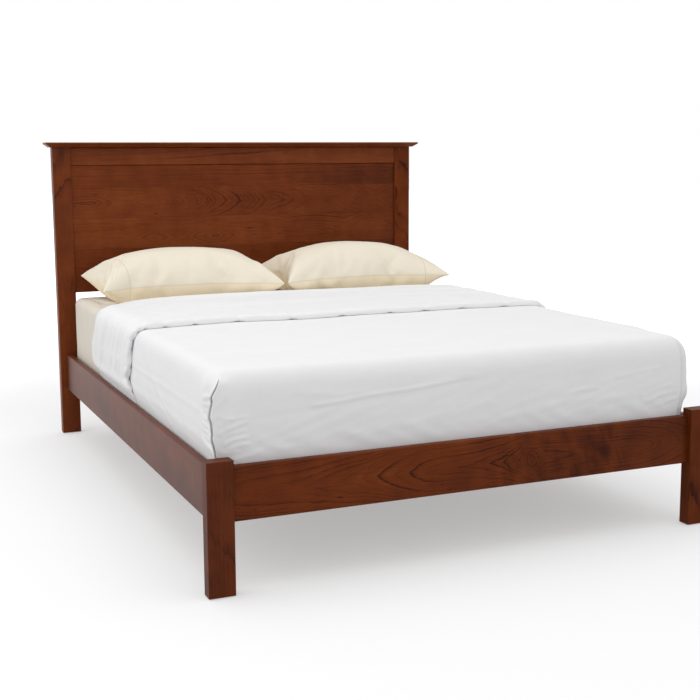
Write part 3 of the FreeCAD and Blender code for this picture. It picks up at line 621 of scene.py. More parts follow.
# %% Cotton finish
def cotton(name, colour, thread, marks=()):
    """Matt woven cotton, with any marks on it."""
    made, tree, shader = new_material(name)
    place = outs(node(tree, "TexCoord"))["UV"]
    cloth = outs(node(tree, "Group", {"Vector": place, "Thread": thread}, node_tree=weave))
    height = cloth["Height"]
    darker = tuple(v * 0.95 for v in colour)
    lighter = tuple(min(v * 1.025, 0.93) for v in colour)
    tint = coloured(cloth["Slub"] * 0.6 + cloth["Cloud"] * 0.4, (0.2, darker), (0.8, lighter))
    for mark in marks:
        mask, mark_colour, sewn = mark(place)
        mixed = node(tree, "Mix", {"Factor": mask, 6: tint, 7: (*mark_colour, 1)},
                     data_type="RGBA")
        tint = Value(mixed.outputs[2])
        height = height - mask * sewn
    put(shader.inputs["Base Color"], tint)
    put(shader.inputs["Roughness"], spread(cloth["Slub"], 0.2, 0.8, 0.86, 0.94))
    relief(shader, height, 0.35, 0.00025)
    shader.inputs["Specular IOR Level"].default_value = 0.2
    shader.inputs["Sheen Weight"].default_value = 0.04
    shader.inputs["Sheen Roughness"].default_value = 0.4
    return made


def blue_stripes(place):
    """Pairs of thin stripes, as on the cover of a mattress or a pillow."""
    repeat, half_stripe = 0.024, 0.055        # metres, and a share of the repeat
    step = maths("FRACT", apart(place)["X"] / repeat)
    pair = [maths("LESS_THAN", maths("ABSOLUTE", step - middle), half_stripe)
            for middle in (0.35, 0.58)]
    return maths("MAXIMUM", *pair), (0.16, 0.22, 0.36), 0.0


white_cotton = cotton("white cotton", (0.885, 0.885, 0.893), 0.0008)
sheet_cotton = cotton("cream cotton", (0.780, 0.722, 0.628), 0.0007)
ticking = cotton("mattress ticking", (0.80, 0.78, 0.72), 0.001, marks=(blue_stripes,))
pillow_ticking = cotton("pillow ticking", (0.82, 0.80, 0.76), 0.0009, marks=(blue_stripes,))
print("cotton finishes done")

# %% [markdown]
# ## Helpers for cloth
# Cloth is easiest to control as a grid of points. Each patch below is a list of
# rows of points, with the place of every point on the flat cloth beside it. Patches
# that share an edge are welded, the faces are turned outwards, and the thickness is
# given by a Solidify modifier that grows inwards.

# %% Cloth from grids of points
def add_patch(made, pattern, points, flat, turned=False):
    """Adds a grid of faces, with each point's place on the flat cloth."""
    grid = [[made.verts.new(point) for point in row] for row in points]
    for i in range(len(grid) - 1):
        for j in range(len(grid[0]) - 1):
            corners = ((i, j), (i, j + 1), (i + 1, j + 1), (i + 1, j))
            if turned:
                corners = corners[::-1]
            face = made.faces.new([grid[a][b] for a, b in corners])
            for loop, (a, b) in zip(face.loops, corners):
                loop[pattern].uv = flat[a][b][:2]


def as_object(made, name):
    """Turns a finished mesh into an object of the scene."""
    mesh = bpy.data.meshes.new(name)
    made.to_mesh(mesh)
    made.free()
    piece = bpy.data.objects.new(name, mesh)
    bpy.context.scene.collection.objects.link(piece)
    return piece


def cloth(name, patches, thickness, material, body):
    """Builds one piece of cloth from patches of (points, flat), both [row][column]."""
    made = bmesh.new()
    pattern = made.loops.layers.uv.new("flat")
    for points, flat in patches:
        add_patch(made, pattern, points, flat)
    bmesh.ops.remove_doubles(made, verts=made.verts, dist=2e-5)
    bmesh.ops.recalc_face_normals(made, faces=made.faces)
    near_top = top_of_sheet - 0.004
    if sum(face.normal.z * face.calc_area() for face in made.faces
           if face.calc_center_median().z > near_top) < 0:
        bmesh.ops.reverse_faces(made, faces=made.faces)
    piece = as_object(made, name)
    piece.data.materials.append(material)
    if thickness:
        finish_with(piece, "SOLIDIFY", thickness=thickness, offset=-1, use_rim=True)
    smooth(piece)
    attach(piece, body)
    print(name, "has", sum(len(f.vertices) - 2 for f in piece.data.polygons), "triangles")
    return piece


def only(piece):
    """Makes one object the active and only selected one."""
    bpy.ops.object.select_all(action="DESELECT")
    piece.select_set(True)
    bpy.context.view_layer.objects.active = piece


def finish_with(piece, kind, **settings):
    """Adds a modifier and applies it at once."""
    only(piece)
    modifier = piece.modifiers.new(kind.lower(), kind)
    for setting, value in settings.items():
        setattr(modifier, setting, value)
    bpy.ops.object.modifier_apply(modifier=modifier.name)


def smooth(piece):
    """Smooth shading over the whole piece."""
    only(piece)
    bpy.ops.object.shade_smooth()


print("cloth helpers ready")

# %% [markdown]
# Folds and creases are plain functions of place, worked out for a whole grid at
# once. An ease is a smooth step, a bell is a smooth hump, a table is followed
# smoothly, and wander gives smooth noise for everything that isn't regular.

# %% Shapes as functions of place
def steps(start, stops):
    """Places along a line: stops is a list of (end, spacing), and spacings blend."""
    places = [start]
    for end, spacing in stops:
        span = end - places[-1]
        count = max(1, round(abs(span) / spacing))
        places += [places[-1] + span * (i + 1) / count for i in range(count)]
    return np.array(places)


def follow(table, places):
    """Smoothly interpolates a table of (place, value) at each place."""
    table = np.array(table, float)
    at = np.interp(places, table[:, 0], np.arange(len(table)))
    low = np.clip(np.floor(at).astype(int), 0, len(table) - 2)
    part = at - low
    values = table[:, 1]
    padded = np.concatenate(([2 * values[0] - values[1]], values,
                             [2 * values[-1] - values[-2]]))
    a, b, c, d = (padded[low + k] for k in range(4))
    return b + 0.5 * part * (c - a + part * (2 * a - 5 * b + 4 * c - d
                                             + part * (3 * (b - c) + d - a)))


def wander(points, scale, seed=0.0):
    """Smooth noise from -1 to 1 at each point. scale is one number or three."""
    scaled = np.asarray(points, float) * scale + seed
    flat = scaled.reshape(-1, 3)
    values = np.array([noise.noise(Vector(point)) for point in flat])
    return values.reshape(scaled.shape[:-1])


def ease(value, low, high):
    """Zero below low, one above high, and a smooth step between."""
    part = np.clip((np.asarray(value, float) - low) / (high - low), 0, 1)
    return part * part * (3 - 2 * part)


def bell(distance, width):
    """A smooth hump, one at distance zero."""
    return np.exp(-(distance / width) ** 2)


def field(*parts):
    """Stacks values into points, spreading single values over the whole grid."""
    return np.stack(np.broadcast_arrays(*parts), axis=-1).astype(float)


def near_line(points, line):
    """Distance from each point to a line of points."""
    nearest = np.full(points.shape[:-1], 1e9)
    for start, end in zip(line[:-1], line[1:]):
        start, span = np.array(start), np.subtract(end, start)
        part = np.clip((points - start) @ span / (span @ span), 0, 1)
        gap = np.linalg.norm(points - start - part[..., None] * span, axis=-1)
        nearest = np.minimum(nearest, gap)
    return nearest


print("halfway up an ease:", float(ease(0.5, 0, 1)), "and beside a bell:",
      round(float(bell(1, 1)), 3))

# %% [markdown]
# ## Boxy pieces
# The mattress and its sheet have the same kind of grid. Seen from above, the
# outline is a rectangle with rounded corners. Each row of the grid is that outline,
# drawn in or let out and moved up, and the last rows close the top.

# %% Rounded outline and its rows
def outline(box, corner, spacing):
    """Points and outward directions round a box seen from above, and the inner line."""
    (x0, y0, _), (x1, y1, _) = box
    points, outward = [], []
    centres = ((x1 - corner, y0 + corner), (x1 - corner, y1 - corner),
               (x0 + corner, y1 - corner), (x0 + corner, y0 + corner))
    runs = (y1 - y0 - 2 * corner, x1 - x0 - 2 * corner) * 2
    fan = max(4, round(corner * math.pi / 2 / spacing))
    for turn, (centre, run) in enumerate(zip(centres, runs)):
        for i in range(fan + 1):
            angle = (turn - 1 + i / fan) * math.pi / 2
            way = np.array((math.cos(angle), math.sin(angle)))
            points.append(np.array(centre) + corner * way)
            outward.append(way)
        count = round(run / spacing)
        ahead_way = np.array((-outward[-1][1], outward[-1][0]))
        for i in range(1, count):
            points.append(points[-1] + ahead_way * run / count)
            outward.append(outward[-1])
    points.append(points[0])
    outward.append(outward[0])
    return np.array(points), np.array(outward)


def stacked_rings(box, corner, spacing, profile, inner_rows):
    """Grid of a boxy piece: profile is (inset, height) from the bottom to the top."""
    points, outward = outline(box, corner, spacing)
    rows = []
    for inset, height in profile:
        row = points - outward * inset
        rows.append(np.column_stack((row, np.full(len(row), height))))
    (x0, y0, _), (x1, y1, _) = box
    half = (x1 - x0) / 2
    spine = np.column_stack((np.full(len(points), (x0 + x1) / 2),
                             np.clip(points[:, 1], y0 + half, y1 - half)))
    last, height = rows[-1][:, :2], profile[-1][1]
    for part in np.linspace(0, 1, inner_rows + 1)[1:]:
        row = last * (1 - part) + spine * part
        rows.append(np.column_stack((row, np.full(len(row), height))))
    grid = np.array(rows)
    length = np.concatenate(([0], np.cumsum(np.linalg.norm(np.diff(points, axis=0), axis=1))))
    climb = np.cumsum(np.linalg.norm(np.diff(grid, axis=0, prepend=grid[:1]), axis=2).mean(1))
    flat = np.stack(np.broadcast_arrays(length[None, :], climb[:, None]), axis=-1)
    on_top = np.arange(len(rows)) >= len(profile)
    beside_walls = 3.0        # keeps the top's pattern clear of the walls' pattern
    flat = np.where(on_top[:, None, None], grid[..., :2] + beside_walls, flat)
    return grid, flat


mattress_box, sheet_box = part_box("mattress"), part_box("fitted_sheet")
top_of_sheet = sheet_box[1][2]
print("top of the sheet:", round(top_of_sheet, 4), "m")

# %% [markdown]
# ## Mattress
# The mattress is a foam core in striped ticking, with a taped edge sewn round the
# top and the bottom. The tape stands out a little, so the walls lie further out in
# the middle than at the seams.

# %% Mattress
mattress_corner, mattress_spacing = 0.045, 0.03
z0, z1 = mattress_box[0][2], mattress_box[1][2] - 0.003
tape = ((0.032, 0.0), (0.0175, 0.0005), (0.0125, 0.004), (0.0085, 0.010), (0.0080, 0.016))
profile = [(0.25, z0), (0.12, z0)] + [(inset, z0 + rise) for inset, rise in tape]
profile += [(0.0060, z0 + (z1 - z0) * part) for part in np.linspace(0.1, 0.9, 9)]
profile += [(inset, z1 - rise) for inset, rise in reversed(tape)] + [(0.12, z1)]
profile = [(inset + 0.001, height) for inset, height in profile]
grid, flat = stacked_rings(mattress_box, mattress_corner, mattress_spacing, profile, 12)
under, under_flat = stacked_rings(mattress_box, mattress_corner, mattress_spacing, profile[:1], 8)
mattress = cloth("foam_mattress", [(grid, flat), (under[:, ::-1], under_flat[:, ::-1])], 0,
                 ticking, "bedding")
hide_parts("mattress")

# %% [markdown]
# ## Fitted sheet
# The sheet is stretched over the mattress and drawn in underneath by its elastic
# hem. The pull leaves fine slanting puckers low on the sides, which are real shapes
# here, a millimetre or two deep, so that they catch the light.

# %% Fitted sheet
sz0, sz1 = sheet_box[0][2], sheet_box[1][2]
edge, sheet_corner, sheet_spacing = 0.030, 0.047, 0.0125
profile = [(0.068, sz0), (0.045, sz0), (0.020, sz0), (0.006, sz0 + 0.004), (0.0008, sz0 + 0.012)]
profile += [(0.0, sz0 + rise) for rise in np.linspace(0.022, sz1 - sz0 - edge, 24)]
profile += [(edge * (1 - math.cos(angle)), sz1 - edge * (1 - math.sin(angle)))
            for angle in np.linspace(0, math.pi / 2, 7)[1:]]
profile += [(edge + extra, sz1) for extra in (0.012, 0.026, 0.042, 0.06, 0.08, 0.102, 0.126,
                                              0.152, 0.18, 0.21, 0.245, 0.28)]
grid, flat = stacked_rings(sheet_box, sheet_corner, sheet_spacing, profile, 10)
heights = grid[..., 2]
wall = 1 - ease(heights, sz1 - 0.05, sz1 - 0.02)
length = np.broadcast_to(flat[0, :, 0], heights.shape)
slant = field(length * 26 + heights * 14, heights * 7, 0)
low_down = 1 - ease(heights, sz0 + 0.03, sz1 - 0.09)
pucker = wander(slant, 1.0, 4.0) * (0.0004 + 0.0016 * low_down)
ways = outline(sheet_box, sheet_corner, sheet_spacing)[1]
below = ease(heights, sz0 + 0.004, sz0 + 0.03)
grid[..., :2] += ways[None, :, :] * (pucker * wall * below)[..., None]
slack = wander(grid * (1, 1, 0), 6.0, 9.0) + 0.5 * wander(grid * (1, 1, 0), 15.0, 2.0)
on_top = ease(heights, sz1 - 0.004, sz1)
near_edge = 1 - ease(np.abs(grid[..., 0]), 0.70, 0.75)
grid[..., 2] += 0.0006 * slack * on_top * near_edge - 0.0012 * on_top
fitted_sheet = cloth("fitted_sheet_cloth", [(grid, flat)], 0.0012, sheet_cotton, "bedding")
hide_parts("fitted_sheet")

# %% [markdown]
# ## Cover, the main part
# The cover lies flat over the bed and hangs down behind the rails. Its grid is a
# flat top and one long skirt that runs down the left side, round the foot and up
# the right side. At each foot corner the skirt's columns fan out from one point.
# There the spare cloth makes a puffy upright fold, which laps over the foot face
# and leaves a thin dark groove.

# %% Cover: the grid's lines
cover_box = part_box("cover")
cover_top = 0.6012
side_plane, foot_plane = 0.7785, 1.0335
shoulder, shoulder_drop, foot_drop = 0.055, 0.060, 0.072
side_fullness, foot_fullness = 3.0, 2.45
tuck_depth = cover_top - cover_box[0][2]
inner_x, inner_y = side_plane - shoulder, foot_plane - shoulder
under_band = 0.50
half_width = steps(0, [(inner_x - 0.15, 0.0105), (inner_x - 0.02, 0.0062), (inner_x, 0.004)])
columns_x = np.concatenate((-half_width[:0:-1], half_width))
rows_y = steps(under_band, [(-0.06, 0.04), (-0.20, 0.0085), (-inner_y + 0.12, 0.011),
                            (-inner_y + 0.02, 0.0062), (-inner_y, 0.004)])
# The corner's columns, by distance round it, lie closest where the upright groove runs.
fan_reach = 0.0432
fan_places = steps(-fan_reach, [(-0.022, 0.0034), (-0.0130, 0.0015), (-0.0060, 0.0006),
                                (0.004, 0.0017), (fan_reach, 0.0032)])
turns = np.linspace(0, math.pi / 2, 13)
wall_parts = steps(0, [(1, 0.0050 / (tuck_depth - shoulder_drop))])[1:]
print("cover top grid:", len(columns_x), "by", len(rows_y))

# %% [markdown]
# The skirt's columns start on the edge of the flat top. Each follows the rounded
# edge, by its share of a quarter turn, and then hangs straight. A power makes the
# edge fuller than a circle would: 1 gives a circle, and less gives a squarer edge.

# %% Cover: the skirt
def skirt_path():
    """Points on the edge of the flat top, and the direction in which each hangs."""
    shares = fan_places / fan_reach / 2
    left_fan = math.pi + (shares + 0.5) * math.pi / 2
    right_fan = -math.pi / 2 + (0.5 - shares[::-1]) * math.pi / 2
    path = [(-inner_x, y, -1, 0) for y in rows_y[:-1]]
    path += [(-inner_x, -inner_y, math.cos(angle), math.sin(angle)) for angle in left_fan]
    path += [(x, -inner_y, 0, -1) for x in columns_x[1:-1]]
    path += [(inner_x, -inner_y, math.cos(angle), math.sin(angle)) for angle in right_fan]
    path += [(inner_x, y, 1, 0) for y in rows_y[-2::-1]]
    return np.array(path)[:, :2], np.array(path)[:, 2:]


base, ways = skirt_path()
round_foot = np.abs(ways[:, 1])[None]
at_foot = ease(round_foot, 0.5, 1.0)
edge_drop = shoulder_drop + (foot_drop - shoulder_drop) * at_foot
power = 2 / (side_fullness + (foot_fullness - side_fullness) * at_foot)
drop = np.concatenate((edge_drop * (1 - np.cos(turns).clip(0, 1)[:, None] ** power),
                       edge_drop + (tuck_depth - edge_drop) * wall_parts[:, None]))
reach = np.concatenate((shoulder * np.sin(turns)[:, None] ** power,
                        np.full((len(wall_parts), len(base)), shoulder)))
skirt = np.zeros((*drop.shape, 3))
skirt[..., :2] = base[None] + ways[None] * reach[..., None]
skirt[..., 2] = cover_top - drop
run = np.concatenate(([0], np.cumsum(np.linalg.norm(np.diff(skirt[-1, :, :2], axis=0), axis=1))))
climb = np.hypot(np.diff(reach, axis=0), np.diff(drop, axis=0))
fallen = np.concatenate((np.zeros((1, len(base))), np.cumsum(climb, axis=0)))
skirt_flat = base[None] + ways[None] * fallen[..., None]
first_fan = len(rows_y) - 1
last_fan = first_fan + len(fan_places) + len(columns_x) - 2
corner_runs = [run[first_fan] + fan_reach, run[last_fan] + fan_reach]
top = field(columns_x[None, :], rows_y[:, None], cover_top)
# The right foot corner has settled a little: the cloth slopes down towards it.
for grid in (top, skirt):
    settled = ease(grid[..., 0], 0.715, 0.785) * ease(-grid[..., 1], 0.78, 0.96)
    grid[..., 2] -= 0.024 * settled * ease(grid[..., 2], 0.46, 0.56)
print("skirt length round the foot:", round(run[-1], 3), "m")

# %% [markdown]
# ## Cover, folds and creases
# The folds are worked out in the same grid. The soft creases that the real cloth
# shows come first, each drawn as a line with a width and a height. Most of them run
# across the face at the foot, and a few short ones fan out from its left corner.

# %% Cover: the lines of the creases
foot_face = -foot_plane
side_face = -0.785
long_creases = (
    # x and z of each point on the foot face, width, height
    (((-0.50, 0.490), (-0.43, 0.496), (-0.332, 0.506), (-0.22, 0.512), (-0.108, 0.522),
      (-0.03, 0.530), (0.05, 0.538)), 0.0062, 0.0028),
    (((-0.66, 0.468), (-0.45, 0.482), (-0.20, 0.497)), 0.014, -0.0009),
    (((-0.19, 0.556), (-0.11, 0.561)), 0.006, 0.0012),
    (((0.01, 0.552), (0.08, 0.568)), 0.006, 0.0013),
    (((0.12, 0.540), (0.18, 0.548), (0.26, 0.556)), 0.006, 0.0014),
    (((0.05, 0.578), (0.17, 0.592)), 0.006, 0.0010),
    (((-0.31, 0.576), (-0.27, 0.562), (-0.24, 0.559)), 0.006, 0.0014),
    (((-0.195, 0.546), (-0.15, 0.538), (-0.12, 0.539)), 0.006, 0.0012),
    (((-0.55, 0.530), (-0.43, 0.515), (-0.34, 0.518)), 0.010, 0.0012),
    (((0.29, 0.450), (0.36, 0.462), (0.43, 0.463)), 0.008, 0.0014),
    (((0.50, 0.490), (0.58, 0.503), (0.65, 0.510)), 0.007, 0.0014),
    (((0.59, 0.422), (0.64, 0.440), (0.70, 0.452)), 0.007, 0.0018),
    (((0.61, 0.404), (0.66, 0.420), (0.72, 0.428)), 0.006, 0.0016),
    (((0.66, 0.386), (0.71, 0.404), (0.75, 0.408)), 0.006, 0.0018),
    (((0.10, 0.40), (0.30, 0.43), (0.55, 0.425)), 0.018, 0.0009),
    (((-0.40, 0.40), (-0.15, 0.42), (0.05, 0.455)), 0.018, 0.0008),
    (((-0.726, 0.362), (-0.691, 0.366), (-0.658, 0.380)), 0.007, 0.0026),
    (((-0.614, 0.382), (-0.543, 0.381)), 0.010, 0.0016),
)
# Short creases that fan out from the left corner: where each starts and ends.
corner_creases = (
    ((-0.759, 0.565), (-0.746, 0.567), (-0.729, 0.570)),
    ((-0.772, 0.518), (-0.760, 0.528), (-0.742, 0.536)),
    ((-0.774, 0.484), (-0.752, 0.478), (-0.731, 0.476), (-0.697, 0.477)),
    ((-0.761, 0.473), (-0.733, 0.473)), ((-0.773, 0.462), (-0.744, 0.465)),
    ((-0.774, 0.437), (-0.753, 0.444), (-0.727, 0.455), (-0.699, 0.464)),
    ((-0.765, 0.427), (-0.732, 0.435), (-0.704, 0.439)),
    ((-0.756, 0.406), (-0.732, 0.418), (-0.700, 0.422)),
    ((-0.770, 0.415), (-0.762, 0.416)), ((-0.745, 0.390), (-0.720, 0.401), (-0.696, 0.402)),
    ((-0.777, 0.390), (-0.750, 0.381), (-0.724, 0.384)),
    ((-0.689, 0.354), (-0.677, 0.362), (-0.657, 0.372)))
creases = tuple((tuple((x, foot_face, z) for x, z in line), width, height)
                for line, width, height in long_creases)
creases += tuple((tuple((x, foot_face, z) for x, z in line), 0.0060, 0.0019 + 0.0007 * (k % 2))
                 for k, line in enumerate(corner_creases))
creases += (
    (((-0.455, -0.816, 0.601), (-0.30, -0.858, 0.601), (-0.1, -0.87, 0.601)), 0.020, 0.0014),
    (((side_face, -0.30, 0.555), (side_face, -0.40, 0.47), (side_face, -0.54, 0.405)),
     0.016, 0.0024),
    (((side_face, -0.16, 0.52), (side_face, -0.25, 0.42), (side_face, -0.33, 0.37)),
     0.014, 0.0018),
    (((side_face, -0.76, 0.55), (side_face, -0.784, 0.462), (side_face, -0.82, 0.40)),
     0.013, 0.0018),
)
print("creases:", len(creases))

# %% [markdown]
# Every point of the skirt is pushed outwards by the sum of its waves, creases and
# swells. Lower down the cloth draws in behind the rails, so there the push gives way
# to a fixed depth, and small puckers gather just above.

# %% Cover: how far the cloth stands out
def cover_waves(points, flat):
    """How far the cover stands out at each point: slow waves, fine ripples, creases."""
    calm = 1 - ease(points[..., 1], -0.16, -0.10)
    shape = np.concatenate((flat, np.zeros(flat.shape[:-1] + (1,))), axis=-1)
    slow = 0.0022 * wander(shape, 3.1, 1.0) + 0.0012 * wander(shape, 7.5, 5.0)
    fine = 0.00045 * wander(shape, (9.0, 42.0, 1.0), 3.0) + 0.0003 * wander(shape, 38.0, 8.0)
    lumps = sum(height * bell(near_line(points, line), width * 0.75)
                for line, width, height in creases)
    rising = field(points[..., 0] * 5 + points[..., 2] * 3,
                   points[..., 2] * 52 - points[..., 0] * 17, 0)
    low_down = 1 - ease(points[..., 2], 0.46, 0.56)
    drag = (0.0004 + 0.0008 * low_down) * wander(rising, 1.0, 11.0) * ease(
        0.60 - points[..., 2], 0.0, 0.04)
    return (slow + fine + drag) * (0.25 + 0.75 * calm) + lumps * calm


top_shift = cover_waves(top, top[..., :2])
top[..., 2] += top_shift
hang = (reach / shoulder).clip(0, 1)
skirt_shift = cover_waves(skirt, skirt_flat)
outward = np.zeros_like(skirt)
outward[..., :2] = ways[None] * hang[..., None] ** 1.5
outward[..., 2] = np.sqrt(np.maximum(0, 1 - hang ** 3))

# The cloth swells a little over the edge of the bed, then draws in behind the rails.
height = skirt[..., 2]
fullness = 0.0075 + 0.0045 * ease(run[None], corner_runs[1] - 0.15, corner_runs[1] + 0.04)
near_right = ease(run[None], corner_runs[1] - 0.06, corner_runs[1] + 0.02)
low_swell = 0.0070 * bell(height - 0.415, 0.030) * near_right
swell = (fullness * bell(height - 0.47, 0.10) + low_swell) * hang
rail_clear = ease(height, 0.335, 0.405)
tuck_side, tuck_foot = 0.7695 - side_plane, 1.0345 - foot_plane
tucked = tuck_side * (1 - round_foot) + tuck_foot * round_foot
hem_pull = field(run[None] * 15 + height * 22, height * 5, 0)
puckers = 0.0048 * wander(hem_pull, 1.0, 6.0) * bell(height - 0.372, 0.035)
loose = swell + skirt_shift + np.minimum(puckers, 0.002)
push = loose * rail_clear + tucked * (1 - rail_clear)
print("cloth stands out up to", round(float(push.max() * 1000), 1), "mm")

# %% [markdown]
# At the left foot corner the spare cloth is folded into an upright pleat: a puffy
# roll on the side, and a thin dark groove where it laps over the foot face. Small
# tucks run from the groove back into the roll. The section there is square, so its
# columns are placed one by one, between the side's plane and the foot's plane. The
# right corner stays round, with one soft upright crease.

# %% Cover: the upright fold at the foot corners
# How far the groove stands from the bed's middle at each height: it runs in a zigzag.
groove_x = ((0.300, 0.7735), (0.350, 0.7735), (0.375, 0.785), (0.390, 0.787), (0.407, 0.791),
            (0.422, 0.795), (0.438, 0.7935), (0.453, 0.795), (0.469, 0.7965), (0.482, 0.801),
            (0.501, 0.798), (0.513, 0.795), (0.525, 0.7925), (0.535, 0.794), (0.555, 0.783),
            (0.576, 0.773), (0.600, 0.766))
# Small tucks that run from the groove back into the roll: height, and rise along the tuck.
tucks = ((0.551, -0.016), (0.529, -0.020), (0.507, -0.014), (0.487, -0.004), (0.469, 0.008),
         (0.450, 0.012), (0.430, 0.016), (0.411, 0.018), (0.393, 0.018))
groove_place = -0.010
corner_sections = []
for side, apex, bulge in ((-1, corner_runs[0], 1.0), (1, corner_runs[1], 0.35)):
    place = (run[None] - apex) * (-side)
    folded = float(side < 0)
    crease = 0.015 * bell(place - 0.0235, 0.0036) * ease(0.580 - height, 0.0, 0.018)
    push = push - (1 - folded) * crease
    across_fold = place - groove_place + 0 * height
    strength = ease(0.579 - height, 0.0, 0.010) * (1 - 0.5 * ease(0.40 - height, 0.0, 0.04))
    soft_end = ease(0.605 - height, 0.0, 0.060) * (1 - 0.6 * ease(0.40 - height, 0.0, 0.04))
    scallop = 1 + 0.25 * wander(field(height * 40 + across_fold * 14, place * 9, side), 1.0, 7.0)
    roll = 0.0085 * bell(across_fold + 0.045, 0.042) * soft_end * scallop * bulge
    dents = 0.0
    for tuck_height, rise in tucks:
        tuck_line = ((-0.002, tuck_height), (-0.020, tuck_height + rise * 0.45),
                     (-0.056, tuck_height + rise))
        away = near_line(np.stack((across_fold, height), axis=-1), tuck_line)
        fading = ease(across_fold + 0.066, 0.0, 0.045) * ease(-across_fold, 0.001, 0.014)
        dents = dents + 0.0075 * bell(away, 0.0055) * fading * strength
    push = push + (roll - folded * dents) * hang
    in_fan = np.abs(place) < fan_reach + 0.0004
    before = (across_fold < 0) & in_fan
    edge_x = side_plane + (follow(groove_x, height) - side_plane) * np.where(
        height > 0.36, bulge, 1.0)
    part = np.clip((place + fan_reach) / (groove_place + fan_reach), 0, 1)
    turning = ease(part, 0.1, 0.95)
    lip = bell(across_fold + 0.0042, 0.0042)
    side_x = (side_plane + push) * (1 - turning) + edge_x * turning
    side_y = inner_y + 0.0575 * part + 0.0050 * lip * strength
    beyond = np.clip(across_fold / (fan_reach - groove_place), 0, 1)
    foot_x = edge_x * (1 - beyond) + inner_x * beyond
    side_x = side_x + 0.0025 * lip * strength - dents * turning
    target_x = np.where(before, side_x, foot_x)
    there = field(side * foot_x, foot_face, height)
    lumps = sum(rise * bell(near_line(there, line), width * 0.75) for line, width, rise in creases)
    target_y = np.where(before, side_y - 0.6 * dents * part,
                        foot_plane + push + lumps * (1 - beyond))
    sunk = 0.0165 * bell(across_fold - 0.0006, 0.0014) * strength
    target_x, target_y = target_x - 0.28 * sunk, target_y - sunk
    square = folded * ease(0.594 - height, 0.0, 0.024)
    round_x = inner_x + (np.abs(ways[:, 0])[None] * (shoulder + push))
    round_y = inner_y + (np.abs(ways[:, 1])[None] * (shoulder + push))
    section_x = round_x * (1 - square) + target_x * square
    section_y = round_y * (1 - square) + target_y * square
    corner_sections.append((in_fan, side * (inner_x + (section_x - inner_x) * hang),
                           -(inner_y + (section_y - inner_y) * hang)))

skirt += outward * push[..., None]
for in_fan, x, y in corner_sections:
    skirt[..., 0] = np.where(in_fan, x, skirt[..., 0])
    skirt[..., 1] = np.where(in_fan, y, skirt[..., 1])
# Low down, the cloth stays inside the inner faces of the foot posts and the foot rail.
behind_posts = ease(0.41 - height, 0, 0.025) * (round_foot > 0)
post_face = -1.0408
kept_in = (1 - behind_posts) * skirt[..., 1] + behind_posts * post_face
skirt[..., 1] = np.where((behind_posts > 0) & (skirt[..., 1] < post_face), kept_in,
                         skirt[..., 1])
print("folds reach", round(float(np.abs(push).max() * 1000), 1), "mm")

# %% [markdown]
# The first row of the skirt is the edge of the flat top. Each foot corner of the top
# is one point there, from which all of that corner's columns fan out. So both grids
# weld into one cloth, which then gets its thickness.

# %% Cover: one welded cloth
left_edge, right_edge = top[:, 0], top[:, -1]
foot_edge = top[-1]
joined = np.concatenate((left_edge[:-1], np.repeat(foot_edge[:1], len(fan_places), axis=0),
                         foot_edge[1:-1], np.repeat(foot_edge[-1:], len(fan_places), axis=0),
                         right_edge[-2::-1]))
skirt[0] = joined
main_cover = cloth("cover_cloth", [(top, top[..., :2]), (skirt, skirt_flat)], 0.0018,
                   white_cotton, "bedding")

# %% [markdown]
# ## Cover, the turned-back end
# The head end of the cover is folded back over itself. Seen from the side the band
# is a long flat loop: it comes out from under, goes round the nose of the fold at
# the head, lies back across the bed, and ends in a soft roll. That side view is
# swept across the bed and down both sides. Where the fold starts and ends at each
# place comes from two lines, one for the head and one for the free edge.

# %% Band: the path across the bed
band_lift = 0.0185
side_drop = cover_top - shoulder_drop - cover_box[0][2]
arc_length = (shoulder + shoulder_drop) / 2 * math.pi / 2
half_path = inner_x + arc_length + side_drop
path = steps(-half_path, [(-inner_x - arc_length, 0.0068), (-inner_x, 0.0058), (-0.40, 0.0090),
                          (inner_x, 0.0125), (inner_x + arc_length, 0.0060),
                          (half_path, 0.0075)])


def arch(place, lift):
    """Point of the bed's cross-section at a distance along it, lifted outwards."""
    side = np.sign(place)
    over = np.abs(place) - inner_x
    angle = np.clip(over / arc_length, 0, 1) * math.pi / 2
    down = np.maximum(0, over - arc_length)
    power = 2 / side_fullness
    x = np.minimum(np.abs(place), inner_x) + shoulder * np.sin(angle) ** power \
        + lift * np.sin(angle)
    z = cover_top - shoulder_drop + shoulder_drop * np.cos(angle).clip(0, 1) ** power \
        + lift * np.cos(angle) - down
    return side * x, z


# Places along the path, from the left hem over the top to the right hem, in metres.
shoulder_end = inner_x + arc_length
head_line = ((-half_path, 0.430), (-0.982, 0.440), (-0.958, 0.463), (-0.931, 0.469),
             (-0.899, 0.457), (-0.861, 0.438), (-0.823, 0.405), (-0.790, 0.385),
             (-0.760, 0.378), (-0.725, 0.395), (-0.681, 0.445), (-0.627, 0.497),
             (-0.547, 0.537), (-0.430, 0.562), (-0.297, 0.573), (-0.069, 0.575),
             (0.327, 0.575), (0.553, 0.568), (0.660, 0.538), (0.710, 0.510), (0.760, 0.475),
             (0.820, 0.460), (half_path, 0.470))
free_line = ((-half_path, -0.095), (-1.006, -0.097), (-0.970, -0.092), (-0.935, -0.078),
             (-0.905, -0.096), (-0.880, -0.118), (-0.850, -0.118), (-0.820, -0.128),
             (-0.780, -0.146), (-0.740, -0.160), (-0.674, -0.143), (-0.627, -0.139),
             (-0.569, -0.135), (-0.516, -0.127), (-0.463, -0.118), (-0.340, -0.136),
             (-0.178, -0.152), (0.047, -0.135), (0.243, -0.148), (0.440, -0.138),
             (0.609, -0.156), (0.700, -0.168), (0.760, -0.190), (0.820, -0.172),
             (half_path, -0.120))
head_at, free_at = follow(head_line, path), follow(free_line, path)
flutter = field(path * 17, 0, 0)
on_side = ease(np.abs(path), inner_x - 0.05, shoulder_end)
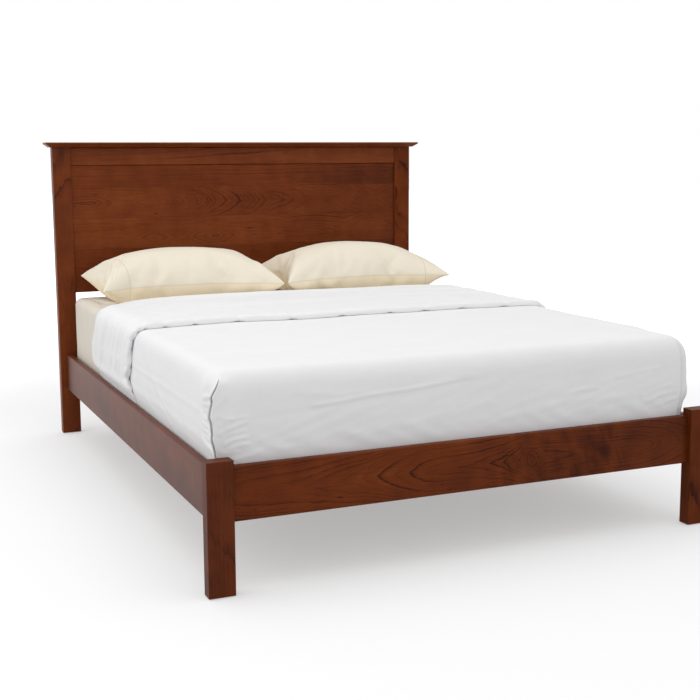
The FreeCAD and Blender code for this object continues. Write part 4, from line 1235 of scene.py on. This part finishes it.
# Where the free edge is pinched in, and how wide each pinch is.
pinches = ((-0.976, 0.008), (-0.929, 0.010), (-0.884, 0.010), (-0.822, 0.012), (-0.803, 0.006),
           (-0.766, 0.008), (-0.741, 0.008), (-0.675, 0.008), (-0.570, 0.010), (-0.41, 0.012),
           (-0.22, 0.011), (-0.03, 0.013), (0.16, 0.011), (0.30, 0.013), (0.46, 0.012),
           (0.63, 0.010), (0.76, 0.010), (0.86, 0.010))
pinched = sum(bell(path - middle, width) for middle, width in pinches)
free_at = free_at + (0.0022 + 0.0020 * on_side) * wander(flutter, 1.0, 3.0) \
    + 0.0016 * wander(flutter, 2.7, 8.0) + 0.0030 * pinched
head_at = head_at + 0.0025 * wander(flutter, 0.5, 12.0)
print("band is", round(float((head_at - free_at).mean()), 3), "m wide on average")

# %% [markdown]
# The side view is a list of places, each with its lift above the cover. Those near
# the head hang on the head line and those near the free edge hang on that line, so
# the middle stretches between the two. Where the free edge is pinched, its roll
# opens a little. Elsewhere it lies closed on the cover below.

# %% Band: the side view of the fold
nose = 0.0105
edge_roll = 0.0125
# Each entry of the side view: distance from the head (h) or from the free edge (f), the lift,
# and the same two where the free edge lies closed on the cover below.
view = [("h", 0.060, 0.0030), ("h", 0.036, 0.0026), ("h", 0.020, 0.0022)]
view += [("h", nose * (1 - math.sin(a)), 0.0022 + nose * (1 - math.cos(a)) * 0.82)
         for a in np.linspace(0.25, math.pi - 0.25, 9)]
view += [("h", 0.018, band_lift), ("h", 0.027, band_lift + 0.0006)]
middle_rows = 145
view += [("m", part, band_lift) for part in np.linspace(0, 1, middle_rows)]
view += [("f", distance, band_lift + extra) for distance, extra in
         ((0.040, 0.0), (0.033, 0.0010), (0.027, 0.0026), (0.021, 0.0040), (0.016, 0.0046))]
for a in np.linspace(1.1, -1.35, 14):
    shut = 1 if a > 0 else 0.30
    view.append(("f", edge_roll * (1 - math.cos(a)),
                 0.0022 + (band_lift + 0.0024) * 0.5 * (1 + math.sin(a)),
                 edge_roll * shut * (1 - math.cos(a)),
                 0.0006 + (band_lift + 0.0040) * 0.5 * (1 + math.sin(a))))
view += [("f", 0.013, 0.0016), ("f", 0.020, 0.0018), ("f", 0.030, 0.0024), ("f", 0.042, 0.0030)]
opened = np.clip(pinched + 0.9 * np.maximum(0, wander(flutter, 0.9, 21.0) - 0.12), 0, 1)
rows_at, lift = [], []
for kind, amount, rise, *closed in view:
    if closed:
        amount = amount * opened + closed[0] * (1 - opened)
        rise = rise * opened + closed[1] * (1 - opened)
    if kind == "h":
        rows_at.append(head_at - amount)
    elif kind == "f":
        rows_at.append(free_at + amount)
    else:
        low, high = head_at - 0.034, free_at + 0.048
        rows_at.append(low * (1 - amount) + high * amount)
    lift.append(rise * np.ones(len(path)))
rows_at, lift = np.array(rows_at), np.array(lift)
print("band grid:", rows_at.shape[0], "by", rows_at.shape[1])

# %% [markdown]
# Long fine ripples run beside the fold, from one side of the bed to the other. They
# are noise drawn out across the bed, on a place that goes from the head line to the
# free edge, so that they follow both. The band then takes the waves of the cover
# below it, and at its lowest it draws in behind the rails too.

# %% Band: ripples, and the finished cloth
lower = lift < 0.010
place = np.broadcast_to(path, rows_at.shape)
cloth_place = field(place, rows_at, 0)
share = (head_at - rows_at) / (head_at - free_at)
beside_fold = field(place, share * 0.62, 0)
ripple = 0.0026 * wander(beside_fold, (1.5, 74.0, 1.0), 2.0) \
    + 0.0066 * wander(beside_fold, (1.5, 36.0, 1.0), 5.0)
ripple = ripple * (0.35 + 0.65 * ease(0.80 - share, 0.0, 0.35) + 0.3 * on_side)
slow = 0.0016 * wander(cloth_place, 4.0, 6.0)
from_free = rows_at - free_at
puff = (0.0030 * wander(flutter, 1.6, 4.0) - 0.0048 * pinched) * bell(from_free - 0.012, 0.017)
lift = lift + np.where(lower, 0, ripple + slow + puff)
x, z = arch(place, 0)
waves = cover_waves(np.stack((x, rows_at, z), axis=-1), np.stack((place, rows_at), axis=-1))
low_end = ease(side_drop - (np.abs(place) - shoulder_end), 0.045, 0.10)
on_wall = np.abs(place) > shoulder_end
narrow = np.where(on_wall, low_end, 1.0)
clear = ease(z, 0.335, 0.405)
swell = np.where(place > 0, 0.0120, 0.0075) * bell(z - 0.47, 0.10)
out = (swell + waves) * clear + tuck_side * (1 - clear)
wall_x = np.sign(place) * (side_plane + lift * (0.14 + 0.86 * narrow) + out)
blend_in = ease(np.abs(place), inner_x, shoulder_end)
x, z = arch(place, lift + waves)
x = np.where(on_wall, wall_x, x + np.sign(x) * swell * blend_in)
band_points = np.stack((x, rows_at, z), axis=-1)
travel = np.cumsum(np.linalg.norm(np.diff(band_points, axis=0, prepend=band_points[:1]),
                                  axis=2), axis=0).mean(1)
beside_cover = 2.0        # keeps the band's pattern clear of the cover's
band_flat = field(path[None], travel[:, None] + beside_cover)
band = cloth("cover_turned_back", [(band_points, band_flat)], 0.0016, white_cotton, "bedding")
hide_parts("cover")

# %% [markdown]
# ## Pillows
# A pillow in its case is two flat rectangles sewn round the edge and stuffed. The
# plump middle, the pointed corners and the little creases that run in from the
# seams all come from that. So the case is made flat, and cloth simulation blows it
# up with a gentle pressure and no gravity. It is then set down: the part below the
# seam is flattened where it rests on the sheet, and the crown follows the heights
# that were measured for each pillow. Both pillows come from one simulated case.

# %% Pillow case: flat, then blown up
case_length, case_depth = 0.80, 0.52
cells_long, cells_deep = ((104, 68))
beside_front = 1.0        # keeps the back's pattern clear of the front's


def flat_case(name):
    """Two rectangles joined at their edges, a few millimetres apart in the middle."""
    made = bmesh.new()
    pattern = made.loops.layers.uv.new("flat")
    long_part, deep_part = np.meshgrid(np.arange(cells_long + 1) / cells_long,
                                       np.arange(cells_deep + 1) / cells_deep)
    u, v = long_part * 2 - 1, deep_part * 2 - 1
    puffed = 0.02 * (1 - u * u) * (1 - v * v)
    for side, shift in ((1, 0), (-1, beside_front)):
        points = field(u * case_length / 2, v * case_depth / 2, side * puffed)
        flat = field(long_part * case_length, deep_part * case_depth + shift)
        add_patch(made, pattern, points, flat, turned=side < 0)
    bmesh.ops.remove_doubles(made, verts=made.verts, dist=1e-5)
    return as_object(made, name)


def blow_up(case, pressure, frames):
    """Cloth simulation with pressure and no gravity, applied to the mesh."""
    only(case)
    modifier = case.modifiers.new("cloth", "CLOTH")
    settings = modifier.settings
    settings.quality = 6
    settings.mass = 0.25
    settings.tension_stiffness = settings.compression_stiffness = 18
    settings.shear_stiffness = 6
    settings.bending_stiffness = 0.35
    settings.air_damping = 2.5
    settings.use_pressure = True
    settings.uniform_pressure_force = pressure
    settings.effector_weights.gravity = 0
    modifier.collision_settings.use_collision = False
    modifier.point_cache.frame_start, modifier.point_cache.frame_end = 1, frames
    for frame_number in range(1, frames + 1):
        bpy.context.scene.frame_set(frame_number)
    bpy.ops.object.modifier_apply(modifier=modifier.name)
    bpy.context.scene.frame_set(1)


print("case cells:", cells_long, "by", cells_deep)

# %% [markdown]
# The simulation leaves many small wrinkles. Smoothing calms them everywhere but at
# the corners, whose points should stay sharp.

# %% Pillow case: the simulated shape
corner_reach = 0.09
case = flat_case("case_pattern")
calm = case.vertex_groups.new(name="calm")
for vertex in case.data.vertices:
    to_end = case_length / 2 - abs(vertex.co.x)
    to_corner = math.hypot(to_end, case_depth / 2 - abs(vertex.co.y))
    calm.add([vertex.index], min(to_corner / corner_reach, 1.0), "REPLACE")
blow_up(case, pressure=4.5, frames=34)
finish_with(case, "SMOOTH", factor=0.5, iterations=14, vertex_group="calm")
blown = np.array([v.co for v in case.data.vertices])
print("blown case measures", [round(float(v), 3) for v in np.ptp(blown, axis=0)])

# %% [markdown]
# ## Pillows, set down
# The insert is a smaller copy of the case. Every point of it that comes too near to
# the case is moved inwards, a few times over. The hem at the mouth gets its own fine
# creases, since it is sewn double and crumples more sharply than the rest.

# %% Pillows: the insert, and the hem's creases
seam_height = 0.0765      # of the pillow's seam above the sheet


def fit_inside(insert, case, mouth):
    """Shrinks the insert and keeps every point of it a few millimetres inside the case."""
    skin = BVHTree.FromObject(case, bpy.context.evaluated_depsgraph_get())
    points = [vertex.co.copy() for vertex in case.data.vertices]
    middle = sum(points, Vector()) / len(points) + Vector((-0.02 * mouth, 0, 0))
    for vertex, point in zip(insert.data.vertices, points):
        away = point - middle
        vertex.co = middle + Vector((away.x * 0.86, away.y * 0.88, away.z * 0.84))
    gap = 0.004
    for _ in range(4):
        for vertex in insert.data.vertices:
            near, facing, _, _ = skin.find_nearest(vertex.co)
            if (vertex.co - near).dot(facing) > -gap:
                vertex.co = near - facing * (gap * 1.6)
    insert.data.update()


def crease_mouth(pillow, low, high, mouth):
    """Fine creases in the hem of the case, running back from its front corner."""
    for vertex in pillow.data.vertices:
        x, y, z = vertex.co
        inwards = x - low[0] if mouth < 0 else high[0] - x
        back = y - low[1]
        above = z - top_of_sheet - seam_height
        if not (0 < inwards < 0.16 and above > 0.003):
            continue
        bend = 0.5 * noise.noise(Vector((x * 9, y * 5, 3.0)))
        wave = math.sin(math.tau * ((inwards - 0.50 * back) / 0.0130 + bend))
        here = bell(inwards - 0.50 * back - 0.024, 0.034) * ease(back, 0.015, 0.06) * (
            1 - ease(back, 0.20, 0.34)) * ease(above, 0.003, 0.02)
        vertex.co.z += 0.0026 * wave * float(here)


print("the seam lies", seam_height, "m above the sheet")

# %% [markdown]
# The blown case is scaled to the pillow's place. The half above the seam follows a
# crown, which is the height of the pillow at each place along it. The half below the
# seam sinks to the sheet and is pressed flat there, less so near the mouth, where
# the case is empty and its end stands clear of the sheet.

# %% Pillows: set down on the sheet
def set_down(name, node_name, insert_node, mouth, crown, material):
    """A copy of the case, fitted to its place. mouth is -1 or 1, the open end's side."""
    low, high = (np.array(corner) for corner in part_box(node_name))
    only(case)
    bpy.ops.object.duplicate()
    pillow = bpy.context.object
    pillow.name = pillow.data.name = name
    points = blown - (blown.max(0) + blown.min(0)) / 2
    points /= np.ptp(blown, axis=0) / 2
    if mouth > 0:
        points = points * (-1, -1, 1)
    x = points[:, 0] * (high[0] - low[0]) / 2 + (high[0] + low[0]) / 2
    y = points[:, 1] * (high[1] - low[1]) / 2 + (high[1] + low[1]) / 2
    upper = points[:, 2] > 0
    share = np.abs(points[:, 2])
    along_pillow = np.linspace(low[0], high[0], 40)
    ridge = np.array([share[upper & (np.abs(x - at) < 0.02)].max(initial=0.05)
                      for at in along_pillow])
    wanted = follow(crown, along_pillow) - top_of_sheet - seam_height
    gain = np.interp(x, along_pillow, np.maximum(wanted, 0.004) / ridge)
    near_seam = ease(share, 0.0, 0.55)
    crown_height = share * np.minimum(gain, 0.22) * (0.80 + 0.20 * near_seam)
    from_mouth = x - low[0] if mouth < 0 else high[0] - x
    sunk = seam_height * (1 - (1 - np.minimum(share * 1.55, 1)) ** 1.7) \
        * (0.35 + 0.65 * ease(from_mouth, 0.0, 0.11))
    z = np.where(upper, crown_height, -sunk)
    tilt = np.abs(points[:, 1]) ** 3 * np.where(points[:, 1] > 0, 0.018, -0.012)
    seam_rise = top_of_sheet + 0.0006 + seam_height + np.where(upper, tilt, tilt * (1 - share))
    placed = np.column_stack((x, y, seam_rise + z))
    placed[:, 2] = np.maximum(placed[:, 2], top_of_sheet + 0.0004)
    for vertex, point in zip(pillow.data.vertices, placed):
        vertex.co = point
    pillow.data.update()
    pillow.data.materials.append(material)
    only(pillow)
    bpy.ops.object.duplicate()
    insert = bpy.context.object
    insert.name = insert.data.name = name.replace("case", "insert")
    fit_inside(insert, pillow, mouth)
    insert.data.materials.clear()
    insert.data.materials.append(pillow_ticking)
    smooth(insert)
    finish_with(pillow, "SUBSURF", levels=1, render_levels=1)
    crease_mouth(pillow, low, high, mouth)
    smooth(pillow)
    body = "left_pillow" if mouth < 0 else "right_pillow"
    for piece, replaced, slot_name in ((pillow, node_name, "cream_cotton"),
                                       (insert, insert_node, "pillow_ticking")):
        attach(piece, body)
        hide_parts(replaced)
    print(name, "stands", round(float(placed[:, 2].max()), 4), "m high")


print("pillows can be set down")

# %% [markdown]
# Two marks are drawn on the case's own pattern. A row of stitches holds the hem, and
# the seams show as a thin line round the edge, darkened partly as painted shade in the
# crease there. The half below the seam is painted a little warmer than the half above:
# painted shade, standing in for warm light bounced up from the sheet into its shadow.

# %% Pillows: finish and places
hem_width, hem_slant = 0.136, 0.05


def stitches_and_painted_seam_shade(place):
    """Stitches along the mouth's hem, and dark seam lines at the edges, partly painted shade."""
    axes = apart(place)
    across_case = maths("FRACT", axes["Y"])
    from_hem = maths("ABSOLUTE", axes["X"] + across_case * hem_slant - hem_width)
    line = spread(from_hem, 0.0008, 0.0028, 0.55, 0.0)
    to_seam = maths("MINIMUM", across_case, case_depth - across_case)
    # The seam line is darkened partly for its stitching and partly as painted shade in the crease
    # along the edge.
    seam = spread(to_seam, 0.0010, 0.0034, 0.4, 0.0)
    return maths("MAXIMUM", line, seam), (0.66, 0.56, 0.43), 2.0


def painted_warm_shade_below_seam(place):
    """The half of the case below the seam, tinted warmer as painted shade from the sheet's bounced
    light.
    """
    # Painted shade: the back half is tinted warm tan, as if lit by light bounced from the sheet.
    return maths("GREATER_THAN", apart(place)["Y"], 0.75), (0.93, 0.81, 0.60), 0.0


case_cotton = cotton("cream pillow cotton", (0.885, 0.810, 0.672), 0.0007,
                     marks=(painted_warm_shade_below_seam, stitches_and_painted_seam_shade))
left_crown = ((-0.741, 0.700), (-0.715, 0.725), (-0.657, 0.768), (-0.56, 0.790), (-0.462, 0.799),
              (-0.300, 0.799), (-0.20, 0.792), (-0.134, 0.781), (-0.06, 0.750), (-0.024, 0.728),
              (0.017, 0.690))
right_crown = ((0.025, 0.690), (0.07, 0.735), (0.14, 0.772), (0.25, 0.793), (0.34, 0.799),
               (0.410, 0.799), (0.550, 0.790), (0.63, 0.770), (0.700, 0.742), (0.75, 0.715),
               (0.783, 0.692))
set_down("pillowcase_left_cloth", "pillowcase_left", "pillow_left", -1, left_crown,
         case_cotton)
set_down("pillowcase_right_cloth", "pillowcase_right", "pillow_right", 1, right_crown,
         case_cotton)
bpy.data.objects.remove(case)
